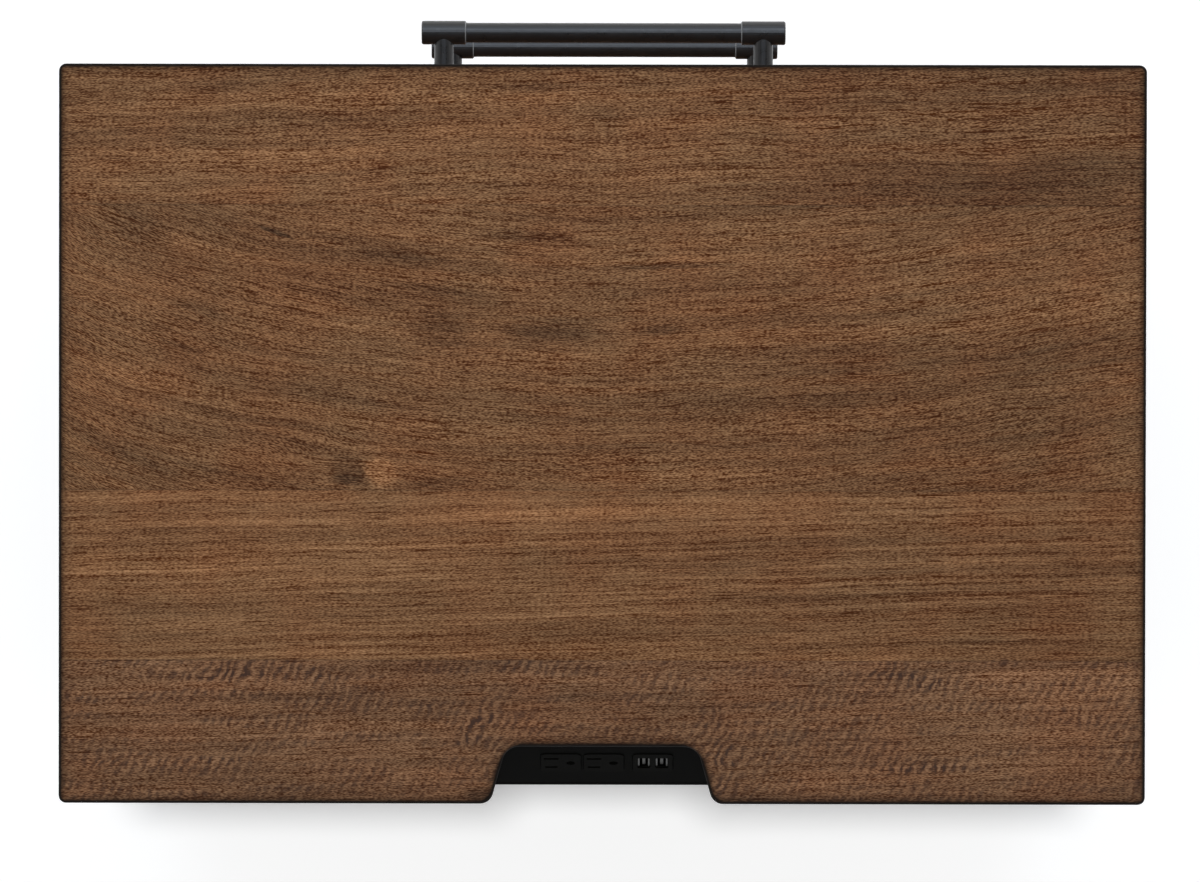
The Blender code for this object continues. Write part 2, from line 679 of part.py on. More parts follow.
def housing_mesh():
    """Moulded housing, in the slanted frame: open tray, two cheeks that close the recess, two ears."""
    mouth = (UNIT_WIDTH - 2 * UNIT_WALL, FACE_LENGTH - 2 * UNIT_WALL)
    tray = box((UNIT_WIDTH, FACE_LENGTH, UNIT_DEPTH), (0, 0, -UNIT_DEPTH / 2))
    upright = FACE_TURN.to_matrix().to_4x4().inverted()
    top = FACE_LENGTH / 2 * math.sin(FACE_TILT)
    run = FACE_LENGTH / 2 * math.cos(FACE_TILT)
    slope = Vector((math.cos(FACE_TILT), -math.sin(FACE_TILT)))
    normal = Vector((math.sin(FACE_TILT), math.cos(FACE_TILT)))
    upper_root = Vector((-run, top)) + 2 * UNIT_WALL * slope - UNIT_WALL * normal
    lower_root = Vector((run, -top)) - 2 * UNIT_WALL * slope - UNIT_WALL * normal
    cheek = [
        tuple(upper_root),
        (-run, top - CHEEK_SINK),
        (run - CHEEK_SINK, top - CHEEK_SINK),
        (run - CHEEK_SINK, -top),
        tuple(lower_root),
    ]
    ear_back = run - BACK_THICK - SEAT_GAP
    ear_low = EAR_MARGIN - top
    ear_high = top - EAR_MARGIN
    added = []
    for sign in SIDES.values():
        outer = UNIT_WIDTH / 2 - CHEEK_SINK
        inner = UNIT_WIDTH / 2 - UNIT_WALL + CHEEK_SINK
        plate = prism(cheek, -(outer - inner) / 2, (outer - inner) / 2)
        lay = Matrix.Rotation(math.pi / 2, 4, "Z") @ Matrix.Rotation(math.pi / 2, 4, "X")
        lay = Matrix.Translation((sign * (outer + inner) / 2, 0, 0)) @ lay
        added.append(moved(plate, upright @ lay))
        ear_root = UNIT_WIDTH / 2 - UNIT_WALL / 2
        ear_tip = UNIT_WIDTH / 2 + EAR_WIDTH
        ear_size = (ear_tip - ear_root, EAR_THICK, ear_high - ear_low)
        ear_place = (sign * (ear_tip + ear_root) / 2, ear_back - EAR_THICK / 2, (ear_high + ear_low) / 2)
        added.append(moved(box(ear_size, ear_place), upright))
    rim = FACEPLATE_THICK + SEAT_GAP
    recess = box((*mouth, 2 * rim))
    hollow = UNIT_DEPTH - UNIT_WALL
    cavity = box((mouth[0] - 2 * LEDGE_WIDTH, mouth[1] - 2 * LEDGE_WIDTH, 2 * hollow))
    cord_hole = rod(GLAND_RADIUS + SEAT_GAP, -UNIT_DEPTH - UNIT_WALL, -UNIT_WALL - rim)
    cord_hole = moved(cord_hole, Matrix.Translation((GLAND_SHIFT, -GLAND_DROP, 0)))
    return combine(combine(tray, "UNION", added), "DIFFERENCE", [recess, cavity, cord_hole])


def outlet_centres():
    """Places of the two outlets along the face, seen from behind, left to right."""
    return [OUTLET_PAIR_SHIFT - OUTLET_PITCH / 2, OUTLET_PAIR_SHIFT + OUTLET_PITCH / 2]


def usb_centres():
    """Places of the two USB ports along their insert."""
    return [-USB_PITCH / 2, USB_PITCH / 2]


def faceplate_mesh():
    """Slanted plate with a window for each outlet and one for the insert of the ports."""
    inset = 2 * (UNIT_WALL + SEAT_GAP)
    size = (UNIT_WIDTH - inset, FACE_LENGTH - inset, FACEPLATE_THICK)
    plate = box(size, (0, 0, -FACEPLATE_THICK / 2), FACEPLATE_EDGE)
    grow = 2 * SEAT_GAP
    cutters = []
    for x in [*outlet_centres(), USB_INSERT_SHIFT]:
        window = (OUTLET_WIDTH + grow, OUTLET_HEIGHT + grow, OUTLET_RADIUS + SEAT_GAP)
        cutters.append(prism(rounded_rectangle(*window, (x, 0)), -2 * FACEPLATE_THICK, FACEPLATE_THICK))
    return combine(plate, "DIFFERENCE", cutters)


def insert_block():
    """Moulded block that fills one window of the faceplate."""
    return prism(rounded_rectangle(OUTLET_WIDTH, OUTLET_HEIGHT, OUTLET_RADIUS), -OUTLET_DEPTH, OUTLET_PROUD)


def outlet_mesh():
    """Three-pin outlet turned on its side: two blade slots and a round earth hole, all blind."""
    block = insert_block()
    low = OUTLET_PROUD - CONTACT_DEPTH
    reach = 2 * (OUTLET_PROUD - low)
    cutters = []
    for sign, length in zip((-1, 1), BLADE_LENGTHS):
        place = (BLADE_SHIFT, sign * BLADE_SPACING / 2, OUTLET_PROUD)
        cutters.append(box((length, BLADE_WIDTH, reach), place))
    earth = rod(EARTH_RADIUS, low, OUTLET_DEPTH, segments=SMALL_SEGMENTS)
    cutters.append(moved(earth, Matrix.Translation((EARTH_SHIFT, 0, 0))))
    return combine(block, "DIFFERENCE", cutters)


def usb_insert_mesh():
    """Insert for the ports: two upright blind pockets side by side, each a little larger than a port."""
    grow = 2 * SEAT_GAP
    size = (USB_HEIGHT + grow, USB_WIDTH + grow, USB_RADIUS + SEAT_GAP)
    low = -USB_DEPTH - SEAT_GAP
    cutters = [prism(rounded_rectangle(*size, (x, 0)), low, OUTLET_DEPTH) for x in usb_centres()]
    return combine(insert_block(), "DIFFERENCE", cutters)


def usb_mesh():
    """USB port standing upright: a walled pocket with a contact tongue on its floor."""
    block = prism(rounded_rectangle(USB_HEIGHT, USB_WIDTH, USB_RADIUS), -USB_DEPTH, -USB_SINK)
    floor = USB_FLOOR - USB_DEPTH
    pocket = box((USB_HEIGHT - 2 * USB_WALL, USB_WIDTH - 2 * USB_WALL, 2 * -floor))
    hollow = combine(block, "DIFFERENCE", [pocket])
    low = floor - USB_FLOOR / 2
    high = -TONGUE_RECESS
    tongue = box((TONGUE_THICK, TONGUE_WIDTH, high - low), (0, 0, (high + low) / 2))
    return combine(hollow, "UNION", [tongue])


def flanged_ring(radius, bore, flange_radius, flange_thick, length):
    """Bushing along Z: a flange from 0 up to its thickness and a barrel below it."""
    profile = [
        (bore, flange_thick),
        (flange_radius, flange_thick),
        (flange_radius, 0),
        (radius, 0),
        (radius, -length),
        (bore, -length),
    ]
    return turned(profile, ring=True)


def power_unit(black, insert_black, nickel):
    """Housing, faceplate, outlets, ports and gland on one empty, tilted with the face."""
    unit = add_empty("power_unit", FACE_MIDDLE, FACE_TURN)
    add_piece("power_housing", housing_mesh(), black, unit)
    add_piece("power_faceplate", faceplate_mesh(), black, unit)
    outlet = outlet_mesh()
    for number, x in enumerate(outlet_centres(), 1):
        add_piece(f"outlet_{number}", outlet, insert_black, unit, (x, 0, 0))
    add_piece("usb_insert", usb_insert_mesh(), insert_black, unit, (USB_INSERT_SHIFT, 0, 0))
    usb = usb_mesh()
    for number, x in enumerate(usb_centres(), 1):
        add_piece(f"usb_port_{number}", usb, nickel, unit, (USB_INSERT_SHIFT + x, 0, 0))
    gland = flanged_ring(GLAND_RADIUS, GLAND_BORE, GLAND_FLANGE_RADIUS, GLAND_FLANGE_THICK, UNIT_WALL)
    gland_place = (GLAND_SHIFT, -GLAND_DROP, -UNIT_DEPTH - SEAT_GAP)
    add_piece("cord_gland", gland, insert_black, unit, gland_place, (math.pi, 0, 0))


def cord_grommet(material):
    """Flanged ring in the back panel, where a cord leaves the case."""
    ring = flanged_ring(
        GROMMET_RADIUS,
        GROMMET_BORE,
        GROMMET_FLANGE_RADIUS,
        GROMMET_FLANGE_THICK,
        BACK_THICK + GROMMET_FLANGE_THICK,
    )
    place = (GROMMET_SHIFT, CASE_BACK + SEAT_GAP, CASE_BOTTOM + GROMMET_LIFT)
    add_piece("cord_grommet", ring, material, location=place, rotation=(-math.pi / 2, 0, 0))


def main():
    clear_scene()
    wood = finish("brown_wood", (0.147, 0.072, 0.034), 0.45)
    box_wood = finish("pale_drawer_wood", (0.52, 0.36, 0.21), 0.55)
    case_wood = finish("black_wood", (0.018, 0.016, 0.014), 0.5)
    back_wood = finish("black_plywood", (0.024, 0.02, 0.017), 0.6)
    black_metal = finish("black_metal", (0.035, 0.035, 0.036), 0.35, 1.0)
    zinc = finish("zinc_plated_steel", (0.62, 0.63, 0.65), 0.3, 1.0)
    black_plastic = finish("black_plastic", (0.006, 0.006, 0.006), 0.4)
    insert_plastic = finish("black_insert_plastic", (0.008, 0.008, 0.008), 0.3)
    nickel = finish("port_metal", (0.5, 0.5, 0.52), 0.3, 1.0)
    glide_plastic = finish("glide_plastic", (0.03, 0.028, 0.026), 0.5)

    top_panel(wood)
    side_panels(case_wood)
    back_panel(back_wood)
    case_boards(case_wood)
    legs_and_glides(case_wood, glide_plastic)
    drawers(wood, box_wood, zinc, black_metal)
    power_unit(black_plastic, insert_plastic, nickel)
    cord_grommet(black_plastic)


main()
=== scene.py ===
# %% [markdown]
# # A two-drawer nightstand, seen from above
# The model that was packed for physics comes in as a frame of separate pieces. This lesson
# gives each piece the finish of the real thing, adds the small fixings that only the eye
# needs, and looks at it all from straight above, as the photograph does.

# %% Load the frame
import math

import bmesh
import bpy
import numpy as np
from mathutils import Matrix, Vector


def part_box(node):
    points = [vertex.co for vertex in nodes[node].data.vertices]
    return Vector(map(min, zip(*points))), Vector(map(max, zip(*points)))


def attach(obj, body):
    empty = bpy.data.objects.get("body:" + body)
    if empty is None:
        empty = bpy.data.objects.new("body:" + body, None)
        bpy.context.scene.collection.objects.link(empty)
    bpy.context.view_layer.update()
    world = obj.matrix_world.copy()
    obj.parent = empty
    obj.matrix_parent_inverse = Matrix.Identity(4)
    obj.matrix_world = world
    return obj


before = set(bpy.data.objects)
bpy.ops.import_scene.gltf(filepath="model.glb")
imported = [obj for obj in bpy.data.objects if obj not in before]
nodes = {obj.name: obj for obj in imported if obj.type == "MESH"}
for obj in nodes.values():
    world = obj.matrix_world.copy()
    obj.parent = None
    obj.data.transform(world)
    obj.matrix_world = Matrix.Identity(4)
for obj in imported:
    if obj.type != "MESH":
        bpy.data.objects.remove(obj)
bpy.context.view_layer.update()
scene = bpy.context.scene
print("pieces in the frame:", len(nodes))

# %% [markdown]
# ## Camera
# The photograph was taken from far above with a long lens, so the far drawer pull almost
# hides behind the near one and the sides don't show. A camera can be placed by eye or worked
# out from known points. Here the corners of the top and the ends of both pulls gave a
# distance of nearly five metres and a tilt of about one degree.

# %% Camera over the top
PHOTO_WIDTH = 1200
SENSOR_WIDTH = 36.0
FOCAL_PIXELS = 6900
CAMERA_PLACE = (-0.01199, -0.04758, 4.82696)
CAMERA_TURNS = {"X": 0.9266, "Y": -0.1842, "Z": 0.1065}

camera_data = bpy.data.cameras.new("overhead_camera")
camera_data.sensor_fit = "HORIZONTAL"
camera_data.sensor_width = SENSOR_WIDTH
camera_data.lens = FOCAL_PIXELS * SENSOR_WIDTH / PHOTO_WIDTH
camera = bpy.data.objects.new("overhead_camera", camera_data)
turn = Matrix.Rotation(math.pi, 4, "Z")
for axis, degrees in CAMERA_TURNS.items():
    turn = Matrix.Rotation(math.radians(degrees), 4, axis) @ turn
camera.matrix_world = Matrix.Translation(CAMERA_PLACE) @ turn
scene.collection.objects.link(camera)
scene.camera = camera
scene.view_settings.view_transform = "Standard"
print("lens", camera_data.lens, "mm")

# %% [markdown]
# ## Nodes and colours
# A finish in Blender is a small graph of nodes. One helper adds any node, sets what it is
# told, and fills its visible inputs in order with numbers or links, so that a finish reads
# like a recipe. Colours are written as the hex codes that a paint program shows.

# %% Helpers for finishes
MM = 0.001


def linear(code):
    """Hex sRGB to linear RGBA: v / 12.92 when dark, else ((v + 0.055) / 1.055) to the power 2.4."""
    values = np.array([int(code[i : i + 2], 16) for i in (1, 3, 5)]) / 255
    light = np.where(values < 0.04045, values / 12.92, ((values + 0.055) / 1.055) ** 2.4)
    return (*light.tolist(), 1.0)


def add(tree, kind, *inputs, **settings):
    """Add one shader node: its settings, then what its visible inputs hold or are linked to."""
    node = tree.nodes.new("ShaderNode" + kind)
    for name, value in settings.items():
        setattr(node, name, value)
    sockets = [socket for socket in node.inputs if socket.enabled]
    for socket, value in zip(sockets, inputs):
        if isinstance(value, bpy.types.Node):
            value = next(output for output in value.outputs if output.enabled)
        if isinstance(value, bpy.types.NodeSocket):
            tree.links.new(value, socket)
        elif value is not None:
            socket.default_value = value
    return node


def smooth(tree, value, low, high, start, end):
    """From start, where the value is at low, to end, where it is at high, along an S-shaped curve."""
    return add(tree, "MapRange", value, low, high, start, end, interpolation_type="SMOOTHSTEP")


def seen_directly(tree):
    """1 for what the camera, a shiny surface or glass sees, 0 for the light that falls on things."""
    ray = add(tree, "LightPath").outputs
    shiny = add(tree, "Math", ray["Is Camera Ray"], ray["Is Glossy Ray"], operation="MAXIMUM")
    return add(tree, "Math", shiny, ray["Is Transmission Ray"], operation="MAXIMUM")


def new_finish(name, **constants):
    """Start a material: the inputs of its shader that are the same all over, by their names."""
    material = bpy.data.materials.new(name)
    material.use_nodes = True
    shader = material.node_tree.nodes["Principled BSDF"]
    for label, value in constants.items():
        shader.inputs[label.replace("_", " ")].default_value = value
    return material, material.node_tree, shader


def dress(material, *names):
    """Give CAD pieces a finish through their material slots."""
    for name in names:
        for slot in nodes[name].material_slots:
            slot.material = material


# %% [markdown]
# ## Studio
# The photograph has a white floor that fades to plain white, with one soft shadow behind the
# back edge, so the main light is high and a little to the front. A sun with a wide disc gives
# that shadow, a large panel high in front gives the long highlight on the pulls, and an even
# sky fills the rest. What the camera and reflections see of the sky is white near the ground
# and darker overhead, as in a room with white walls, with a bluish window behind the panel.

# %% Floor, sky and lamps
FLOOR_SIZE = 60.0
FLOOR_GLOW = 0.24
SKY_FILL = 0.30
WALL_EDGE = (0.25, 0.85)
WALL_GLOW = 1.0
OVERHEAD_GLOW = 0.2
SUN_TILT = 4.4
SUN_DISC = 3.6
SUN_STRENGTH = 0.51 * math.pi
WINDOW_WAY = (0.0, -math.sin(math.radians(34)), math.cos(math.radians(34)))
WINDOW_EDGE = (math.cos(math.radians(36)), math.cos(math.radians(16)))
WINDOW_GLOW = 1.15
PANEL_PLACE = Vector((0.0, -1.6, 2.9))
PANEL_AIM = Vector((0.0, 0.0, 0.45))
PANEL_SIZE = (2.6, 1.7)
PANEL_WATTS = 20.5

floor_mesh = bpy.data.meshes.new("floor")
half_floor = FLOOR_SIZE / 2
floor_corners = [(x * half_floor, y * half_floor, 0) for x, y in ((-1, -1), (1, -1), (1, 1), (-1, 1))]
floor_mesh.from_pydata(floor_corners, [], [(0, 1, 2, 3)])
floor = bpy.data.objects.new("floor", floor_mesh)
scene.collection.objects.link(floor)

paper, tree, shader = new_finish("white paper floor", Roughness=0.9, Specular_IOR_Level=0.1)
shader.inputs["Base Color"].default_value = linear("#fafafa")
shader.inputs["Emission Color"].default_value = linear("#ffffff")
glow = add(tree, "Math", seen_directly(tree), FLOOR_GLOW, operation="MULTIPLY")
tree.links.new(glow.outputs[0], shader.inputs["Emission Strength"])
floor_mesh.materials.append(paper)

world = bpy.data.worlds.new("white studio")
scene.world = world
world.use_nodes = True
tree = world.node_tree
way = add(tree, "TexCoord").outputs["Generated"]
up = add(tree, "SeparateXYZ", way).outputs["Z"]
walls = smooth(tree, up, *WALL_EDGE, WALL_GLOW, OVERHEAD_GLOW)
facing = add(tree, "VectorMath", way, WINDOW_WAY, operation="DOT_PRODUCT")
window = smooth(tree, facing.outputs["Value"], *WINDOW_EDGE, 0.0, 1.0)
walls = add(tree, "Math", window, WINDOW_GLOW, walls, operation="MULTIPLY_ADD")
strength = add(tree, "Mix", seen_directly(tree), SKY_FILL, walls, data_type="FLOAT")
tree.links.new(strength.outputs[0], tree.nodes["Background"].inputs["Strength"])
daylight = add(tree, "Mix", window, linear("#ffffff"), linear("#d6e6ff"), data_type="RGBA")
tree.links.new(daylight.outputs[2], tree.nodes["Background"].inputs["Color"])

sun_data = bpy.data.lights.new("high_sun", "SUN")
sun_data.energy = SUN_STRENGTH
sun_data.angle = math.radians(SUN_DISC)
sun = bpy.data.objects.new("high_sun", sun_data)
sun.rotation_euler = (math.radians(SUN_TILT), 0, 0)
sun.visible_glossy = False
scene.collection.objects.link(sun)

panel_data = bpy.data.lights.new("front_panel", "AREA")
panel_data.shape = "RECTANGLE"
panel_data.size, panel_data.size_y = PANEL_SIZE
panel_data.energy = PANEL_WATTS
panel_data.color = linear("#f3f9ff")[:3]
panel = bpy.data.objects.new("front_panel", panel_data)
panel.location = PANEL_PLACE
panel.rotation_euler = (PANEL_AIM - PANEL_PLACE).to_track_quat("-Z", "Y").to_euler()
panel.visible_camera = False
scene.collection.objects.link(panel)
print("floor", FLOOR_SIZE, "m, sky fill", SKY_FILL)

# %% [markdown]
# ## How the wood is drawn
# The real wood is a stained hardwood with open pores: broad tones and narrow bands run along
# each board, fine fibres lie inside them, and short dark dashes are pores that kept more
# stain. Each of these is a noise stretched along the grain, with its cell given in
# millimetres, and their weighted sum is a tone between a dark and a light stain.

# %% Grain
GRAIN_LAYERS = {
    "tone": (320 * MM, 45 * MM, 2.0),
    "zones": (110 * MM, 26 * MM, 1.0),
    "bands": (260 * MM, 9 * MM, 3.0),
    "threads": (260 * MM, 1.6 * MM, 2.0),
    "lines": (90 * MM, 2.2 * MM, 3.0),
    "fibres": (24 * MM, 0.75 * MM, 2.0),
    "grit": (4.0 * MM, 0.58 * MM, 1.0),
    "fine": (1.9 * MM, 0.5 * MM, 0.0),
    "dashes": (16 * MM, 0.68 * MM, 1.0),
    "ticks": (6.0 * MM, 0.58 * MM, 0.0),
    "strokes": (26 * MM, 0.9 * MM, 0.0),
}


def stretched_noise(tree, place, length, width, detail):
    """Noise at (along / length, across / width, depth / width), so its cells lie along the grain."""
    cells = add(tree, "VectorMath", place, (1 / length, 1 / width, 1 / width), operation="MULTIPLY")
    return add(tree, "TexNoise", cells, 1.0, detail, 0.65)


def grain_layers(tree, place):
    """All layers of the grain by name: pores and strokes by a soft threshold, grit stronger in some zones."""
    layers = {name: stretched_noise(tree, place, *cell) for name, cell in GRAIN_LAYERS.items()}
    crowd = add(tree, "Math", layers["bands"], 0.35, layers["dashes"], operation="MULTIPLY_ADD")
    dashes = smooth(tree, crowd, 0.75, 0.88, 0.0, 1.0)
    ticks = smooth(tree, layers["ticks"], 0.60, 0.74, 0.0, 0.8)
    layers["pores"] = add(tree, "Math", dashes, ticks, operation="MAXIMUM")
    layers["strokes"] = smooth(tree, layers["strokes"], 0.69, 0.77, 0.0, 1.0)
    open_grain = add(tree, "MapRange", layers["zones"], 0.35, 0.65, 0.6, 1.3)
    grit = add(tree, "Math", layers["grit"], 0.5, operation="SUBTRACT")
    layers["grit"] = add(tree, "Math", grit, open_grain, 0.5, operation="MULTIPLY_ADD")
    return layers


def weighted_sum(tree, start, terms):
    """start + sum of weight * (layer - middle), as one chain of multiply-adds."""
    total = start - sum(weight * middle for _, weight, middle in terms)
    for layer, weight, _ in terms:
        total = add(tree, "Math", layer, weight, total, operation="MULTIPLY_ADD")
    return total


STAIN_MIDDLE = 0.385
DEEP_SHADE = (0.45, 0.47, 0.49, 1.0)
CLEAR_SHADE = (1.55, 1.53, 1.51, 1.0)


def shaded(tree, stain, broad):
    """The stain times a broad tone: 1 at a tone of a half, darker and cooler below, lighter above."""
    shade = add(tree, "Mix", broad, DEEP_SHADE, CLEAR_SHADE, data_type="RGBA", clamp_factor=True)
    shade = add(tree, "Mix", 1.0, stain.outputs[2], shade.outputs[2], data_type="RGBA", blend_type="MULTIPLY")
    return shade.outputs[2]


# %% [markdown]
# ## The top
# The top is four boards glued edge to edge, each with grain of its own. The front board is
# straight. In the wide one the grain comes in on a slant from the left and settles, with a
# small knot low down. The third is straight and lighter, and the one at the back has ripple
# figure, short slanting strokes across the grain. Every edge is stained black, and the black
# fades in over a few millimetres, so the finish needs the distance to the outline, notch
# included. All places are in millimetres from the left and front edges as the camera sees them.

# %% Measures of the top
TOP_LOW, TOP_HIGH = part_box("top_panel")
TOP_HALF = TOP_HIGH.x
TOP_DEPTH = TOP_HIGH.y - TOP_LOW.y
BOARD_JOINTS = (85.5 * MM, 258.5 * MM, 361.8 * MM)
BOARD_TONES = (0.03, 0.0, 0.04, -0.02)
NOTCH_DEPTH = 34.8 * MM
NOTCH_HALF_FRONT = 58.0 * MM
NOTCH_HALF_BACK = 67.75 * MM
NOTCH_CORNER = 10.5 * MM
LIP_CORNER = 8.0 * MM
TOP_CORNER = 4.5 * MM
RIM_BLACK = 1.3 * MM
RIM_FADE = 2.2 * MM

# left, down, half length, half width in mm, tilt in degrees, weight
TONE_SPOTS = {
    "patch by the joint": (47, 99, 24, 9, 22, -0.16),
    "split": (132, 102, 11, 1.5, 22, -0.5),
    "streaks left of middle": (232, 161, 22, 13, 8, -0.16),
    "streaks in the middle": (299, 162, 36, 9, 0, -0.18),
    "streaks right of middle": (366, 161, 16, 4, -5, -0.2),
    "long line": (372, 122, 46, 2.2, -2, -0.2),
    "grey patch at the front": (98, 13, 26, 6, 0, -0.1),
    "second grey patch at the front": (287, 13, 30, 5, 0, -0.1),
    "dull patch in the front board": (333, 34, 12, 9, 0, -0.09),
    "patch in the slant": (84, 150, 22, 8, 15, -0.13),
    "upper streak of the slant": (287, 104, 34, 4, 4, -0.14),
    "middle streak of the slant": (203, 115, 36, 5, 9, -0.12),
    "lower streak of the slant": (229, 137, 34, 4, 6, -0.15),
    "knot": (195, 248, 12, 10, 30, 0.42),
    "first streak of the knot": (190, 250, 8, 1.7, 38, 0.45),
    "second streak of the knot": (194, 247.5, 10, 1.7, 36, 0.5),
    "third streak of the knot": (198, 245, 9, 1.6, 36, 0.45),
    "swirl by the knot": (178, 247, 15, 9, 20, -0.2),
    "dark below the swirl": (172, 252, 9, 4, 0, -0.16),
    "duller right half": (520, 190, 170, 90, 0, -0.06),
    "duller right end below": (560, 310, 200, 60, 0, -0.09),
    "streaks past the knot": (232, 254, 26, 4, -4, -0.14),
    "slanting band": (44, 239, 46, 5, 24, -0.15),
    "slanting streak": (75, 172, 20, 3, 17, -0.2),
    "clear patch": (46, 183, 40, 16, 20, 0.08),
    "dark lip left of the notch": (256, 444, 12, 6, 0, -0.24),
    "darker right end": (600, 40, 230, 70, 0, -0.12),
    "pale strip past the joint": (200, 268, 300, 9, 0, 0.06),
}
RIPPLE_SPOTS = {
    "row along the joint": (126, 370, 55, 8, 0, 0.9),
    "row at the corner": (19, 386, 18, 3.0, 0, 1.0),
    "row below": (115, 383, 30, 4.5, 0, 0.8),
    "row by the back": (72, 426, 64, 7, 0, 1.0),
    "slanting rows": (257, 398, 26, 9, -53, 0.9),
    "rows left of the notch": (229, 392, 20, 8, 0, 0.8),
    "patch at the joint": (279, 364, 14, 4, 0, 1.0),
    "rows above the notch": (397, 395, 11, 11, 0, 0.8),
    "rows right of the notch": (405, 426, 11, 22, 0, 0.6),
    "wide rows": (508, 375, 44, 12, 0, 0.7),
    "ticks by the back": (529, 427, 48, 3.5, 0, 0.8),
    "streak by the back": (488, 438, 20, 3, 0, 0.7),
    "end of the joint": (573, 363, 14, 3, 0, 1.0),
}
print("top", round(2 * TOP_HALF, 4), "by", round(TOP_DEPTH, 4), "m")

# %% Where a point of the top lies in its board
wood, tree, shader = new_finish("stained hardwood top, wiped and lacquered", Specular_IOR_Level=0.16)
point = add(tree, "SeparateXYZ", add(tree, "TexCoord").outputs["Object"])
left = add(tree, "Math", TOP_HALF, point.outputs["X"], operation="SUBTRACT")
down = add(tree, "Math", point.outputs["Y"], TOP_LOW.y, operation="SUBTRACT")
past = [add(tree, "Math", down, joint, operation="GREATER_THAN") for joint in BOARD_JOINTS]
board = add(tree, "Math", past[0], past[1], operation="ADD")
board = add(tree, "Math", board, past[2], operation="ADD")
wide_board = add(tree, "Math", past[0], past[1], operation="SUBTRACT")

# The slant of the wide board: 95 mm * (1 - e^(-left / 180 mm)), less a rise that fans out to the right
SLANT_DROP = 95 * MM
SLANT_RUN = 180 * MM
SLANT_RISE = 0.05
PLAIN_RISE = 0.025
FAN_START = 320 * MM
FAN_CURVE = 0.15
decay = add(tree, "Math", math.exp(-1 / SLANT_RUN), left, operation="POWER")
slant = add(tree, "Math", decay, -SLANT_DROP, SLANT_DROP, operation="MULTIPLY_ADD")
slant = add(tree, "Math", left, -SLANT_RISE, slant, operation="MULTIPLY_ADD")
fan = add(tree, "Math", left, FAN_START, operation="SUBTRACT")
fan = add(tree, "Math", add(tree, "Math", fan, 0.0, operation="MAXIMUM"), 2.0, operation="POWER")
slant = add(tree, "Math", fan, -FAN_CURVE, slant, operation="MULTIPLY_ADD")
slant = add(tree, "Math", slant, wide_board, operation="MULTIPLY")
rise = add(tree, "Math", left, PLAIN_RISE, down, operation="MULTIPLY_ADD")
settled = add(tree, "Math", rise, slant, operation="SUBTRACT")

# The grain wanders less in the two boards at the back, and each board is another slice of a tree
WANDER_CELL = (120 * MM, 40 * MM, 1.0)
FRONT_SWAY = 12 * MM
LESS_SWAY = 8 * MM
SLICES_APART = 1.7
flat_place = add(tree, "CombineXYZ", left, down, board)
wander = stretched_noise(tree, flat_place, *WANDER_CELL)
sway = weighted_sum(tree, FRONT_SWAY, [(past[1], -LESS_SWAY, 0.0)])
across = add(tree, "Math", wander, sway, settled, operation="MULTIPLY_ADD")
slice_of_tree = add(tree, "Math", board, SLICES_APART, point.outputs["Z"], operation="MULTIPLY_ADD")
place = add(tree, "CombineXYZ", left, across, slice_of_tree)
layers = grain_layers(tree, place)

# %% Spots and ripple figure
RIPPLE_PERIOD = 6.4 * MM
RIPPLE_SLANT = 0.55
RIPPLE_EVERYWHERE = 0.9
RIPPLE_DEPTH = 0.62
RIPPLE_UNEVEN = 19 * MM
UNEVEN_CELL = 16 * MM
BROKEN_CELL = (3.5 * MM, 6 * MM, 1.0)
PATCH_CELL = (60 * MM, 9 * MM, 2.0)
SPOT_RAGGED = (9 * MM, 3 * MM, 0.0)
RAGGED_CELL = 14 * MM
SPOT_RIM = (1.25, 0.3)

rough_edge = add(tree, "TexNoise", flat_place, 1 / RAGGED_CELL, 2.0, 0.6).outputs["Color"]
ragged = add(tree, "VectorMath", rough_edge, (0.5, 0.5, 0.5), operation="SUBTRACT")
spot_place = add(tree, "CombineXYZ", left, down, 0.0)
spot_place = add(tree, "VectorMath", ragged, SPOT_RAGGED, spot_place, operation="MULTIPLY_ADD")


def spots(tree, table):
    """Sum of weight * soft ellipse, each 1 near its middle and 0 from a quarter past its rim on."""
    total = 0.0
    for x, y, length, width, tilt, weight in table.values():
        location = (x * MM, y * MM, 0.0)
        turned = (0.0, 0.0, math.radians(tilt))
        size = (length * MM, width * MM, 1.0)
        inside = add(tree, "Mapping", spot_place, location, turned, size, vector_type="TEXTURE")
        radius = add(tree, "VectorMath", inside, operation="LENGTH")
        ellipse = smooth(tree, radius.outputs["Value"], *SPOT_RIM, 0.0, weight)
        total = add(tree, "Math", ellipse, total, operation="ADD")
    return total


tone_spots = spots(tree, TONE_SPOTS)
ripple_rows = spots(tree, RIPPLE_SPOTS)
phase = add(tree, "Math", down, RIPPLE_SLANT, left, operation="MULTIPLY_ADD")
uneven = add(tree, "TexNoise", flat_place, 1 / UNEVEN_CELL, 3.0, 0.6)
phase = add(tree, "Math", uneven, RIPPLE_UNEVEN, phase, operation="MULTIPLY_ADD")
phase = add(tree, "Math", phase, 2 * math.pi / RIPPLE_PERIOD, operation="MULTIPLY")
stroke = add(tree, "Math", phase, operation="SINE")
dark_stroke = smooth(tree, stroke, -0.3, 0.9, 0.3, 1.0)
broken = stretched_noise(tree, flat_place, *BROKEN_CELL)
broken = add(tree, "MapRange", broken, 0.36, 0.58, 0.5, 1.1)
dark_stroke = add(tree, "Math", dark_stroke, broken, operation="MULTIPLY")
# The light side of each ripple stroke is painted sheen: the figure's chatoyant shine, lightened into the
# colour.
painted_sheen_stroke = smooth(tree, stroke, -0.2, -0.9, 0.0, 1.0)
patches = stretched_noise(tree, flat_place, *PATCH_CELL)
patches = smooth(tree, patches, 0.40, 0.62, 0.0, RIPPLE_EVERYWHERE)
ripple_rows = add(tree, "Math", past[2], patches, ripple_rows, operation="MULTIPLY_ADD")
